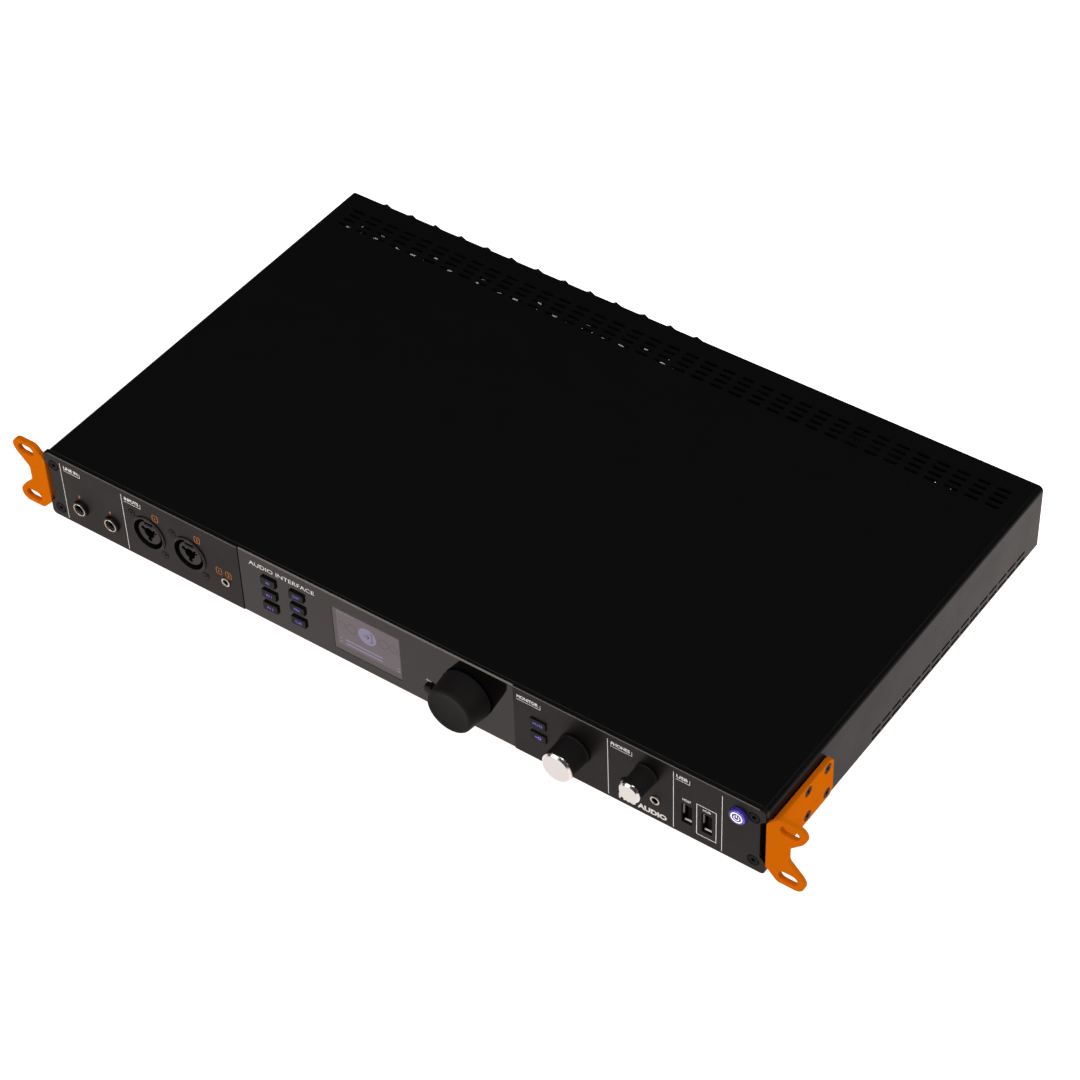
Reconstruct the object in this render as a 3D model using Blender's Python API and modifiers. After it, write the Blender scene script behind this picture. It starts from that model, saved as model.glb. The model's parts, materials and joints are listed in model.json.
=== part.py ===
"""Rack-mount audio interface, one rack unit high, with bolt-on rack ears.

Frame: +X to the right seen from the front, -Y towards the front, +Z up, metres.
The origin is the bottom centre of the whole object. Depths are measured from the
face of the front panel, positive towards the rear.
"""
import math

import bmesh
import bpy
from mathutils import Matrix, Vector

MM = 0.001
OBJECT_NAME = "audio_interface"

# Overall sizes
PANEL_WIDTH = 440.0 * MM
PANEL_HEIGHT = 43.7 * MM
PANEL_THICKNESS = 3.0 * MM
BODY_WIDTH = 439.4 * MM
BODY_TOP = 43.0 * MM
BODY_DEPTH = 259.7 * MM
KNOB_PROUD = 14.5 * MM
REAR_PROUD = 9.0 * MM
FRONT_Y = KNOB_PROUD - (KNOB_PROUD + BODY_DEPTH + REAR_PROUD) / 2
MID_Z = PANEL_HEIGHT / 2
GAP = 0.3 * MM

# Sheet-metal case
SHEET = 1.2 * MM
COVER_BEND = 3.0 * MM
COVER_SIDE_BOTTOM = 2.5 * MM
TRAY_BEND = 2.4 * MM
TRAY_SIDE_TOP = 36.0 * MM
TAB_WIDTH = 12.0 * MM
BEND_STEPS = 3
TOP_VENT_COLUMNS = 36
TOP_VENT_ROWS = 4
TOP_VENT_PITCH = (11.69 * MM, 4.4 * MM)
TOP_VENT_SIZE = (8.0 * MM, 1.7 * MM)
TOP_VENT_FIRST_DEPTH = 233.6 * MM
SIDE_VENT_COUNT = 16
SIDE_VENT_PITCH = 9.42 * MM
SIDE_VENT_SIZE = (8.3 * MM, 1.5 * MM)
SIDE_VENT_FIRST_DEPTH = 100.1 * MM
SIDE_VENT_HEIGHTS = (4.9 * MM, 9.1 * MM)

# Front panel outline and centre section
PANEL_CORNER = 2.4 * MM
NOTCH_DEPTH = 3.0 * MM
NOTCH_HALF_HEIGHT = 12.6 * MM
NOTCH_SLOPE = 2.6 * MM
FASCIA_LEFT = -90.5 * MM
FASCIA_RIGHT = 77.9 * MM
FASCIA_RECESS = 0.4 * MM
FASCIA_THICKNESS = 1.5 * MM
FASCIA_CHAMFER = 0.7 * MM
POCKET_DEPTH = 2.2 * MM
WEB_WINDOW = (-84.0 * MM, 72.0 * MM, 5.0 * MM, 38.5 * MM)
SCREEN = (-32.1 * MM, 9.8 * MM, 6.4 * MM, 35.5 * MM)
WINDOW_THICKNESS = 1.0 * MM
LCD_MARGIN = 2.0 * MM
LCD_THICKNESS = 3.2 * MM

# Buttons
BUTTON_SIZE = (9.4 * MM, 5.2 * MM)
BUTTON_CORNER = 0.9 * MM
BUTTON_PROUD = 0.8 * MM
BUTTON_FLANGE = 0.9 * MM
BUTTON_STEM = 2.6 * MM
BUTTON_STEM_END = 6.2 * MM
FUNCTION_COLUMNS = (-72.0 * MM, -54.1 * MM)
FUNCTION_ROWS = (29.85 * MM, 21.0 * MM, 12.15 * MM)
MONITOR_BUTTON_X = 92.5 * MM
MONITOR_BUTTON_ROWS = (26.0 * MM, 17.0 * MM)
BACK_BUTTON = (27.2 * MM, 11.6 * MM)
BACK_RADIUS = 3.0 * MM
BACK_PROUD = 1.7 * MM
POWER_BUTTON = (205.3 * MM, 33.0 * MM)
POWER_RADIUS = 4.6 * MM
POWER_PROUD = 2.0 * MM

# Rotary controls: centre, face radius, skirt radius
MAIN_KNOB = (50.2 * MM, MID_Z)
MAIN_RADII = (13.0 * MM, 14.0 * MM, 14.8 * MM)
MONITOR_KNOB = (113.5 * MM, 21.5 * MM)
MONITOR_RADII = (8.5 * MM, 9.1 * MM)
PHONES_KNOB = (154.7 * MM, 29.9 * MM)
PHONES_RADII = (5.9 * MM, 6.6 * MM)
KNOB_CLEARANCE = 0.9 * MM
SKIRT_THICKNESS = 1.4 * MM
CAP_THICKNESS = 1.8 * MM
CAP_BEVEL = 0.9 * MM
DISH_DEPTH = 0.5 * MM
SHAFT_RADIUS = 3.0 * MM
SHAFT_TIP = 9.0 * MM
SHAFT_END = 6.0 * MM
ENCODER_FRONT = 3.4 * MM
ENCODER_REAR = 9.7 * MM
ENCODER_BORE_END = 9.0 * MM
PLUNGER_RADIUS = 2.4 * MM
PLUNGER_REAR = 8.1 * MM
KNOB_SEGMENTS = 40

# Front sockets
COMBO_X = (-151.3 * MM, -124.3 * MM)
COMBO_Z = 20.9 * MM
COMBO_RADIUS = 10.9 * MM
COMBO_CORE_RADIUS = 7.4 * MM
COMBO_GROOVE = (7.4 * MM, 9.3 * MM)
COMBO_PROUD = 0.6 * MM
COMBO_LENGTH = 30.0 * MM
COMBO_BOX = (24.0 * MM, 26.0 * MM)
COMBO_SEGMENTS = 24
JACK_X = (-198.2 * MM, -177.0 * MM)
JACK_Z = 14.1 * MM
JACK_PROUD = 1.8 * MM
JACK_COLLAR = (4.3 * MM, 5.1 * MM)
JACK_BORE = 3.3 * MM
JACK_BARREL = 4.6 * MM
JACK_LENGTH = 30.0 * MM
JACK_BOX = 14.0 * MM
MINIJACK_LINE = (-101.1 * MM, 13.8 * MM)
MINIJACK_PHONES = (159.3 * MM, 13.9 * MM)
MINIJACK_RADIUS = 3.2 * MM
MINIJACK_BORE = 1.8 * MM
MINIJACK_PROUD = 0.8 * MM
MINIJACK_BOX = 7.4 * MM
MINIJACK_LENGTH = 14.0 * MM
PHONES_JACK = (144.2 * MM, 14.6 * MM)
PHONES_JACK_PROUD = 1.2 * MM
USB_X = (176.9 * MM, 188.0 * MM)
USB_Z = 15.1 * MM
USB_OPENING = (5.4 * MM, 12.4 * MM)
USB_WALL = 0.4 * MM
USB_TONGUE = (1.9 * MM, 11.2 * MM)
USB_LENGTH = 14.0 * MM

# Circuit boards
BOARD_THICKNESS = 1.6 * MM
FRONT_BOARD_DEPTH = 10.0 * MM
FRONT_BOARD = (-86.0 * MM, 213.0 * MM, 5.0 * MM, 40.0 * MM)
FRONT_BOARD_CUT = (135.0 * MM, 198.0 * MM, 22.6 * MM)
SWITCH_SIZE = 5.6 * MM
SWITCH_FRONT = 7.1 * MM
MAIN_BOARD_Z = 6.3 * MM
MAIN_BOARD = (-212.0 * MM, 212.0 * MM, 45.0 * MM, 256.0 * MM)
STANDOFF_RADIUS = 3.0 * MM

# Screws
SCREW_HEAD_RADIUS = 2.9 * MM
SCREW_SHANK_RADIUS = 1.5 * MM
SCREW_LENGTH = 8.0 * MM
SCREW_SOCKET = 1.15 * MM
SCREW_SEGMENTS = 12
PANEL_SCREW_X = 213.5 * MM
PANEL_SCREW_OFFSET = 14.9 * MM
PANEL_SCREW_MID = 21.5 * MM

# Rack ears: slot spacing follows the 19 inch rack standard
EAR_THICKNESS = 3.0 * MM
EAR_SPAN = 482.6 * MM
EAR_SLOT_X = 465.1 * MM / 2
EAR_SLOT_OFFSET = 31.75 * MM / 2
EAR_SLOT = (10.5 * MM, 6.2 * MM)
EAR_MID_Z = 21.65 * MM
EAR_HALF_HEIGHT = 21.6 * MM
EAR_INNER_X = PANEL_WIDTH / 2 + 0.1 * MM
EAR_PLATE_DEPTH = 54.5 * MM
EAR_PLATE_HALF_HEIGHT = 12.5 * MM
EAR_PLATE_CORNER = 4.0 * MM
EAR_SCREW_DEPTHS = (32.1 * MM, 49.1 * MM)
EAR_SCREW_OFFSET = 8.5 * MM

# Rear connectors
REAR_JACK_FIRST_X = -197.4 * MM
REAR_JACK_PITCH = 17.34 * MM
REAR_JACK_ROWS = (34.6 * MM, 14.4 * MM)
INPUT_COLUMNS = 8
OUTPUT_COLUMNS = 5
OUTPUT_LOWER_COLUMNS = 2
REAR_NUT_RADIUS = 6.8 * MM
REAR_NUT_TURN = math.pi / 6
REAR_NUT_PROUD = 3.2 * MM
REAR_BARREL = 4.9 * MM
REAR_BORE_DEPTH = 24.0 * MM
REAR_HOUSING = 28.0 * MM
REAR_SEGMENTS = 12
BORE_SEGMENTS = 8
BNC_X = (112.0 * MM, 132.0 * MM)
BNC_RADII = (4.8 * MM, 3.9 * MM)
OPTICAL_X = (48.0 * MM, 66.0 * MM)
OPTICAL_ROWS = (13.6 * MM, 29.6 * MM)
OPTICAL_FACE = 10.4 * MM
OPTICAL_PORT = 7.6 * MM
USB_C = (164.0 * MM, 14.0 * MM)
USB_C_OPENING = (8.4 * MM, 2.6 * MM)
DC_INLET = (198.0 * MM, 15.0 * MM)
DC_BARREL = (4.9 * MM, 3.1 * MM, 1.0 * MM)
DC_SEGMENTS = 12

PARTS = bpy.data.collections.new(OBJECT_NAME)
CUTTERS = bpy.data.collections.new(OBJECT_NAME + "_cutters")
MATERIALS = {}


def clear_scene():
    for obj in list(bpy.data.objects):
        bpy.data.objects.remove(obj, do_unlink=True)
    for collection in (PARTS, CUTTERS):
        bpy.context.scene.collection.children.link(collection)


def make_materials():
    """One Principled material per finish: colour, roughness, metallic."""
    finishes = {
        "case_black": ((0.012, 0.012, 0.013), 0.42, 0.0),
        "panel_black": ((0.022, 0.020, 0.019), 0.38, 0.3),
        "fascia_grey": ((0.050, 0.047, 0.045), 0.30, 0.1),
        "ear_orange": ((0.72, 0.19, 0.010), 0.35, 0.0),
        "screw_black": ((0.030, 0.030, 0.032), 0.35, 0.8),
        "button_black": ((0.010, 0.010, 0.011), 0.55, 0.0),
        "knob_rubber": ((0.012, 0.012, 0.012), 0.75, 0.0),
        "cap_metal": ((0.76, 0.70, 0.66), 0.30, 1.0),
        "shaft_steel": ((0.45, 0.45, 0.46), 0.30, 1.0),
        "socket_black": ((0.010, 0.010, 0.010), 0.45, 0.0),
        "socket_metal": ((0.62, 0.56, 0.50), 0.25, 1.0),
        "power_lens": ((0.25, 0.22, 0.85), 0.20, 0.0),
        "screen_glass": ((0.10, 0.10, 0.12), 0.05, 0.0),
        "screen_panel": ((0.22, 0.20, 0.22), 0.30, 0.0),
        "board_green": ((0.010, 0.060, 0.025), 0.45, 0.0),
    }
    for name, (colour, roughness, metallic) in finishes.items():
        mat = bpy.data.materials.new(name)
        mat.use_nodes = True
        shader = mat.node_tree.nodes["Principled BSDF"]
        shader.inputs["Base Color"].default_value = (*colour, 1.0)
        shader.inputs["Roughness"].default_value = roughness
        shader.inputs["Metallic"].default_value = metallic
        mat.diffuse_color = (*colour, 1.0)
        MATERIALS[name] = mat


def at(x, depth, z):
    """World position of a point given by its depth behind the panel face."""
    return Vector((x, FRONT_Y + depth, z))


def add_object(name, mesh, location, finish=None):
    """Link a mesh as a part, or as a cutter when it has no finish."""
    obj = bpy.data.objects.new(name, mesh)
    obj.location = location
    if finish is None:
        CUTTERS.objects.link(obj)
        obj.hide_render = True
        obj.display_type = "WIRE"
    else:
        PARTS.objects.link(obj)
        mesh.materials.append(MATERIALS[finish])
    return obj


def box(name, low, high, finish=None):
    """A box between two corners, each (x, depth, z), with its origin at its centre."""
    low, high = at(*low), at(*high)
    bm = bmesh.new()
    bmesh.ops.create_cube(bm, size=1.0)
    bmesh.ops.scale(bm, vec=high - low, verts=bm.verts)
    mesh = bpy.data.meshes.new(name)
    bm.to_mesh(mesh)
    bm.free()
    return add_object(name, mesh, (low + high) / 2, finish)


def boxes(name, centres, size):
    """Many equal boxes in one cutter, at (x, depth, z) centres."""
    bm = bmesh.new()
    for centre in centres:
        made = bmesh.ops.create_cube(bm, size=1.0)
        bmesh.ops.scale(bm, vec=size, verts=made["verts"])
        bmesh.ops.translate(bm, vec=at(*centre), verts=made["verts"])
    mesh = bpy.data.meshes.new(name)
    bm.to_mesh(mesh)
    bm.free()
    return add_object(name, mesh, (0, 0, 0))


def rods(name, points, radius, front, rear, segments, finish=None, tip_radius=None, turn=0.0):
    """Equal cylinders along the depth axis, at (x, z) points; tip_radius tapers the front."""
    bm = bmesh.new()
    origin = at(points[0][0], front, points[0][1])
    for x, z in points:
        made = bmesh.ops.create_cone(
            bm, cap_ends=True, segments=segments, depth=rear - front,
            radius1=radius if tip_radius is None else tip_radius, radius2=radius,
            matrix=Matrix.Rotation(turn, 4, "Y") @ Matrix.Rotation(-math.pi / 2, 4, "X"))
        place = at(x, (front + rear) / 2, z) - origin
        bmesh.ops.translate(bm, vec=place, verts=made["verts"])
    mesh = bpy.data.meshes.new(name)
    bm.to_mesh(mesh)
    bm.free()
    smooth(mesh)
    return add_object(name, mesh, origin, finish)


def smooth(mesh):
    mesh.shade_smooth()
    mesh.set_sharp_from_angle(angle=math.radians(35))


def turned(name, centre, profile, segments, finish=None):
    """A solid of revolution about the depth axis.

    The profile runs from the axis at the front, down the outer side, back to the axis
    at the rear, as (radius, depth) pairs.
    """
    x, z = centre
    mesh = bpy.data.meshes.new(name)
    points = [(radius, 0.0, -depth) for radius, depth in profile]
    edges = [(i, i + 1) for i in range(len(points) - 1)]
    mesh.from_pydata(points, edges, [])
    obj = add_object(name, mesh, at(x, 0.0, z), finish)
    obj.rotation_euler = (math.pi / 2, 0, 0)
    screw = obj.modifiers.new("turn", "SCREW")
    screw.axis = "Z"
    screw.steps = segments
    screw.render_steps = segments
    screw.use_merge_vertices = True
    screw.merge_threshold = 0.01 * MM
    screw.use_smooth_shade = True
    return obj


def as_mesh(curve_obj, finish):
    """Replace a curve object by a welded mesh object in the same place."""
    bpy.context.view_layer.update()
    graph = bpy.context.evaluated_depsgraph_get()
    mesh = bpy.data.meshes.new_from_object(curve_obj.evaluated_get(graph))
    bm = bmesh.new()
    bm.from_mesh(mesh)
    bmesh.ops.remove_doubles(bm, verts=bm.verts, dist=0.01 * MM)
    bm.to_mesh(mesh)
    bm.free()
    mesh.materials.clear()
    name = curve_obj.name
    matrix = curve_obj.matrix_world.copy()
    bpy.data.objects.remove(curve_obj, do_unlink=True)
    obj = add_object(name, mesh, (0, 0, 0), finish)
    obj.name = name
    obj.matrix_world = matrix
    return obj


def outline(name, points, half_thickness, closed):
    """A 2D curve through the points, extruded along its own Z."""
    curve = bpy.data.curves.new(name, "CURVE")
    curve.dimensions = "2D"
    curve.fill_mode = "BOTH" if closed else "NONE"
    curve.extrude = half_thickness
    spline = curve.splines.new("POLY")
    spline.points.add(len(points) - 1)
    for point, (u, v) in zip(spline.points, points):
        point.co = (u, v, 0.0, 1.0)
    spline.use_cyclic_u = closed
    obj = bpy.data.objects.new(name, curve)
    CUTTERS.objects.link(obj)
    return obj


def plate_xz(name, points, front, rear, finish=None):
    """A flat plate with an outline in X and Z, between two depths."""
    obj = outline(name, points, (rear - front) / 2, True)
    obj.rotation_euler = (math.pi / 2, 0, 0)
    obj.location = (0.0, FRONT_Y + (front + rear) / 2, 0.0)
    return as_mesh(obj, finish)


def plate_yz(name, points, low_x, high_x, finish=None):
    """A flat plate with an outline in depth and Z, between two X positions."""
    obj = outline(name, points, (high_x - low_x) / 2, True)
    obj.rotation_euler = (math.pi / 2, 0, math.pi / 2)
    obj.location = ((low_x + high_x) / 2, FRONT_Y, 0.0)
    return as_mesh(obj, finish)


def bent_sheet(name, points, front, rear, finish):
    """Sheet metal bent along a path in X and Z; the thickness goes to its right side."""
    obj = outline(name, points, (rear - front) / 2, False)
    obj.rotation_euler = (math.pi / 2, 0, 0)
    obj.location = (0.0, FRONT_Y + (front + rear) / 2, 0.0)
    sheet = as_mesh(obj, finish)
    solid = sheet.modifiers.new("sheet", "SOLIDIFY")
    solid.thickness = SHEET
    solid.offset = -1.0
    solid.use_even_offset = True
    return sheet


def arc(centre, radius, start, end, steps):
    """Points on an arc, angles in degrees."""
    angles = [math.radians(start + (end - start) * i / steps) for i in range(steps + 1)]
    return [(centre[0] + radius * math.cos(a), centre[1] + radius * math.sin(a)) for a in angles]


def rounded_rectangle(low, high, radius, steps=3):
    (x0, z0), (x1, z1) = low, high
    points = arc((x1 - radius, z0 + radius), radius, -90, 0, steps)
    points += arc((x1 - radius, z1 - radius), radius, 0, 90, steps)
    points += arc((x0 + radius, z1 - radius), radius, 90, 180, steps)
    points += arc((x0 + radius, z0 + radius), radius, 180, 270, steps)
    return points


def centred_rectangle(centre, size, radius, steps=3):
    low = (centre[0] - size[0] / 2, centre[1] - size[1] / 2)
    high = (centre[0] + size[0] / 2, centre[1] + size[1] / 2)
    return rounded_rectangle(low, high, radius, steps)


def boolean(obj, other, operation):
    step = obj.modifiers.new(other.name, "BOOLEAN")
    step.operation = operation
    step.object = other
    step.solver = "EXACT"


def cut(obj, *cutters):
    for cutter in cutters:
        boolean(obj, cutter, "DIFFERENCE")


def fuse(obj, *others):
    for other in others:
        boolean(obj, other, "UNION")


def case_shells():
    half = BODY_WIDTH / 2
    bend = COVER_BEND
    path = [(-half, COVER_SIDE_BOTTOM)]
    path += arc((-half + bend, BODY_TOP - bend), bend, 180, 90, BEND_STEPS)
    path += arc((half - bend, BODY_TOP - bend), bend, 90, 0, BEND_STEPS)
    path += [(half, COVER_SIDE_BOTTOM)]
    cover = bent_sheet("top_cover", path, PANEL_THICKNESS + GAP, BODY_DEPTH, "case_black")

    columns = [(i - (TOP_VENT_COLUMNS - 1) / 2) * TOP_VENT_PITCH[0] for i in range(TOP_VENT_COLUMNS)]
    rows = [TOP_VENT_FIRST_DEPTH + i * TOP_VENT_PITCH[1] for i in range(TOP_VENT_ROWS)]
    top_slots = boxes("top_vents", [(x, depth, BODY_TOP) for x in columns for depth in rows],
                      (TOP_VENT_SIZE[0], TOP_VENT_SIZE[1], 4 * SHEET))
    depths = [SIDE_VENT_FIRST_DEPTH + i * SIDE_VENT_PITCH for i in range(SIDE_VENT_COUNT)]
    side_slots = boxes("side_vents",
                       [(x, depth, z) for x in (-half, half) for depth in depths
                        for z in SIDE_VENT_HEIGHTS],
                       (4 * SHEET, SIDE_VENT_SIZE[0], SIDE_VENT_SIZE[1]))
    cut(cover, top_slots, side_slots, ear_screw_holes("cover_screw_holes"))

    half -= SHEET + GAP
    bend = TRAY_BEND
    path = [(half, TRAY_SIDE_TOP)]
    path += arc((half - bend, bend), bend, 0, -90, BEND_STEPS)
    path += arc((-half + bend, bend), bend, 270, 180, BEND_STEPS)
    path += [(-half, TRAY_SIDE_TOP)]
    front, rear = PANEL_THICKNESS + GAP, BODY_DEPTH - SHEET - GAP
    tray = bent_sheet("bottom_tray", path, front, rear, "case_black")
    for side in (-1, 1):
        tab = box("tray_tab", (side * (half - SHEET / 2), front, 3 * MM),
                  (side * (half - TAB_WIDTH), front + SHEET, 40 * MM - GAP))
        fuse(tray, tab)
        first, last = depths[0] - 6 * MM, depths[-1] + 6 * MM
        relief = box("tray_vent_window", (side * half - 3 * SHEET, first, SIDE_VENT_HEIGHTS[0] - 1.5 * MM),
                     (side * half + 3 * SHEET, last, SIDE_VENT_HEIGHTS[1] + 1.5 * MM))
        cut(tray, relief)
    posts = [(x, y) for x in (-190 * MM, 0.0, 190 * MM) for y in (60 * MM, 220 * MM)]
    for x, depth in posts:
        fuse(tray, post("standoff", x, depth, SHEET / 2, MAIN_BOARD_Z - GAP, STANDOFF_RADIUS))
    panel_holes = rods("tray_panel_holes", panel_screw_places(), SCREW_SHANK_RADIUS + GAP,
                       0.0, 12 * MM, 12)
    power_relief = rods("tray_power_relief", [POWER_BUTTON], POWER_RADIUS + 1.3 * MM, 0.0, 12 * MM, 16)
    cut(tray, ear_screw_holes("tray_screw_holes"), panel_holes, power_relief)


def post(name, x, depth, bottom, top, radius, finish=None):
    """An upright cylinder standing at (x, depth)."""
    bm = bmesh.new()
    bmesh.ops.create_cone(bm, cap_ends=True, segments=12, depth=top - bottom,
                          radius1=radius, radius2=radius)
    mesh = bpy.data.meshes.new(name)
    bm.to_mesh(mesh)
    bm.free()
    return add_object(name, mesh, at(x, depth, (bottom + top) / 2), finish)


def ear_screw_places():
    return [(depth, EAR_MID_Z + dz) for depth in EAR_SCREW_DEPTHS
            for dz in (-EAR_SCREW_OFFSET, EAR_SCREW_OFFSET)]


def ear_screw_holes(name):
    """Clearance holes across the case for the ear screws, on both sides."""
    bm = bmesh.new()
    for side in (-1, 1):
        for depth, z in ear_screw_places():
            made = bmesh.ops.create_cone(
                bm, cap_ends=True, segments=12, depth=12 * MM,
                radius1=SCREW_SHANK_RADIUS + GAP, radius2=SCREW_SHANK_RADIUS + GAP,
                matrix=Matrix.Rotation(math.pi / 2, 4, "Y"))
            bmesh.ops.translate(bm, vec=at(side * BODY_WIDTH / 2, depth, z), verts=made["verts"])
    mesh = bpy.data.meshes.new(name)
    bm.to_mesh(mesh)
    bm.free()
    return add_object(name, mesh, (0, 0, 0))


def rear_panel():
    half = BODY_WIDTH / 2 - SHEET - GAP - 0.2 * MM
    points = rounded_rectangle((-half, GAP), (half, BODY_TOP - SHEET - GAP), 2.4 * MM)
    panel = plate_xz("rear_panel", points, BODY_DEPTH - SHEET, BODY_DEPTH, "case_black")
    front, rear = BODY_DEPTH - 3 * SHEET, BODY_DEPTH + 2 * SHEET
    jacks = rods("rear_jack_holes", input_jacks() + output_jacks(), REAR_BARREL + 2 * GAP, front, rear, REAR_SEGMENTS)
    minis = rods("rear_minijack_holes", rear_minijacks(), MINIJACK_RADIUS + 2 * GAP, front, rear, REAR_SEGMENTS)
    bncs = rods("bnc_holes", [(x, MID_Z) for x in BNC_X], BNC_RADII[0] + GAP, front, rear, 16)
    inlet = rods("dc_hole", [DC_INLET], DC_BARREL[0] + GAP, front, rear, 16)
    usb = box("usb_c_hole",
              (USB_C[0] - USB_C_OPENING[0] / 2 - 0.9 * MM, front, USB_C[1] - USB_C_OPENING[1] / 2 - 0.9 * MM),
              (USB_C[0] + USB_C_OPENING[0] / 2 + 0.9 * MM, rear, USB_C[1] + USB_C_OPENING[1] / 2 + 0.9 * MM))
    reach = OPTICAL_FACE / 2 + GAP
    ports = boxes("optical_holes", [(x, BODY_DEPTH, z) for x in OPTICAL_X for z in OPTICAL_ROWS],
                  (2 * reach, 6 * SHEET, 2 * reach))
    cut(panel, jacks, minis, bncs, inlet, usb, ports)


# ---------------------------------------------------------------- front panel

def panel_outline():
    """Right half edge of the panel, bottom to top, with the notch beside the ear."""
    edge, inner, corner = PANEL_WIDTH / 2, PANEL_WIDTH / 2 - NOTCH_DEPTH, PANEL_CORNER
    outer_half = NOTCH_HALF_HEIGHT + NOTCH_SLOPE
    return [(edge - corner, 0.0), (edge, corner),
            (edge, MID_Z - outer_half), (inner, MID_Z - NOTCH_HALF_HEIGHT),
            (inner, MID_Z + NOTCH_HALF_HEIGHT), (edge, MID_Z + outer_half),
            (edge, PANEL_HEIGHT - corner), (edge - corner, PANEL_HEIGHT)]


def panel_screw_places():
    return [(side * PANEL_SCREW_X, PANEL_SCREW_MID + dz) for side in (-1, 1)
            for dz in (-PANEL_SCREW_OFFSET, PANEL_SCREW_OFFSET)]


def button_hole(name, centre, front, rear):
    size = (BUTTON_SIZE[0] + 2 * GAP, BUTTON_SIZE[1] + 2 * GAP)
    return plate_xz(name, centred_rectangle(centre, size, BUTTON_CORNER + GAP, 2), front, rear)


def front_panel():
    right = panel_outline()
    points = right + [(-x, z) for x, z in reversed(right)]
    panel = plate_xz("front_panel", points, 0.0, PANEL_THICKNESS, "panel_black")
    pocket = box("fascia_pocket", (FASCIA_LEFT - GAP, -MM, -MM),
                 (FASCIA_RIGHT + GAP, POCKET_DEPTH, PANEL_HEIGHT + MM))
    web = box("web_window", (WEB_WINDOW[0], 0.0, WEB_WINDOW[2]),
              (WEB_WINDOW[1], 2 * PANEL_THICKNESS, WEB_WINDOW[3]))
    front, rear = -PANEL_THICKNESS, 2 * PANEL_THICKNESS
    combos = rods("combo_holes", [(x, COMBO_Z) for x in COMBO_X], COMBO_RADIUS + GAP, front, rear,
                  COMBO_SEGMENTS)
    jacks = rods("jack_holes", [(x, JACK_Z) for x in JACK_X] + [PHONES_JACK], JACK_BARREL + GAP,
                 front, rear, 20)
    minis = rods("minijack_holes", [MINIJACK_LINE, MINIJACK_PHONES], 2.6 * MM + GAP, front, rear, 16)
    bushes = rods("bush_holes", [MONITOR_KNOB, PHONES_KNOB], SHAFT_RADIUS + 1.5 * MM + GAP, front, rear, 16)
    power = rods("power_hole", [POWER_BUTTON], POWER_RADIUS + GAP, front, rear, 16)
    usb = boxes("usb_holes", [(x, PANEL_THICKNESS / 2, USB_Z) for x in USB_X],
                (USB_OPENING[0], 3 * PANEL_THICKNESS, USB_OPENING[1]))
    heads = rods("countersinks", panel_screw_places(), SCREW_SHANK_RADIUS + GAP, -GAP, 2.1 * MM, 16,
                 tip_radius=SCREW_HEAD_RADIUS + 2.5 * GAP)
    shanks = rods("screw_holes", panel_screw_places(), SCREW_SHANK_RADIUS + GAP, front, rear, 16)
    cut(panel, pocket, web, combos, jacks, minis, bushes, power, usb, heads, shanks)
    for row, z in enumerate(MONITOR_BUTTON_ROWS):
        cut(panel, button_hole(f"monitor_hole_{row}", (MONITOR_BUTTON_X, z), front, rear))


def display_unit():
    face, back = FASCIA_RECESS, FASCIA_RECESS + FASCIA_THICKNESS
    slope = FASCIA_CHAMFER
    side = [(back, 0.0), (back, PANEL_HEIGHT), (face + slope, PANEL_HEIGHT), (face, PANEL_HEIGHT - slope),
            (face, slope / 2), (face + slope / 2, 0.0)]
    fascia = plate_yz("display_fascia", side, FASCIA_LEFT, FASCIA_RIGHT, "fascia_grey")
    front, rear = -2 * MM, 4 * MM
    x0, x1, z0, z1 = SCREEN
    opening = box("screen_opening", (x0, front, z0), (x1, rear, z1))
    bush = rods("main_bush_hole", [MAIN_KNOB], SHAFT_RADIUS + 1.5 * MM + GAP, front, rear, 20)
    back_hole = rods("back_hole", [BACK_BUTTON], BACK_RADIUS + GAP, front, rear, 16)
    cut(fascia, opening, bush, back_hole)
    for column, x in enumerate(FUNCTION_COLUMNS):
        for row, z in enumerate(FUNCTION_ROWS):
            cut(fascia, button_hole(f"function_hole_{column}_{row}", (x, z), front, rear))
    lens = FASCIA_RECESS + 0.1 * MM
    box("display_window", (x0 + GAP, lens, z0 + GAP), (x1 - GAP, lens + WINDOW_THICKNESS, z1 - GAP),
        "screen_glass")
    depth = FASCIA_RECESS + FASCIA_THICKNESS + GAP
    box("lcd_module", (x0 - LCD_MARGIN, depth, z0 + GAP), (x1 + LCD_MARGIN, depth + LCD_THICKNESS, z1 - GAP),
        "screen_panel")


# ---------------------------------------------------------------- buttons and knobs

def key(name, centre, panel_rear):
    """A rectangular key: cap through the panel, a retaining flange and a stem."""
    cap = plate_xz(name, centred_rectangle(centre, BUTTON_SIZE, BUTTON_CORNER, 2),
                   -BUTTON_PROUD, panel_rear + 2 * GAP, "button_black")
    flange_size = (BUTTON_SIZE[0] + 1.8 * MM, BUTTON_SIZE[1] + 1.8 * MM)
    flange_front = panel_rear + GAP
    flange = plate_xz(name + "_flange", centred_rectangle(centre, flange_size, MM, 1),
                      flange_front, flange_front + BUTTON_FLANGE)
    half = BUTTON_STEM / 2
    stem = box(name + "_stem", (centre[0] - half, flange_front, centre[1] - half),
               (centre[0] + half, BUTTON_STEM_END, centre[1] + half))
    fuse(cap, flange, stem)


def round_key(name, centre, radius, proud, panel_rear, finish):
    flange = panel_rear + GAP
    profile = [(0.0, -proud), (radius - 0.4 * MM, -proud), (radius, -proud + 0.4 * MM),
               (radius, flange), (radius + 0.9 * MM, flange),
               (radius + 0.9 * MM, flange + BUTTON_FLANGE), (BUTTON_STEM / 2, flange + BUTTON_FLANGE),
               (BUTTON_STEM / 2, BUTTON_STEM_END), (0.0, BUTTON_STEM_END)]
    turned(name, centre, profile, 16, finish)


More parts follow.
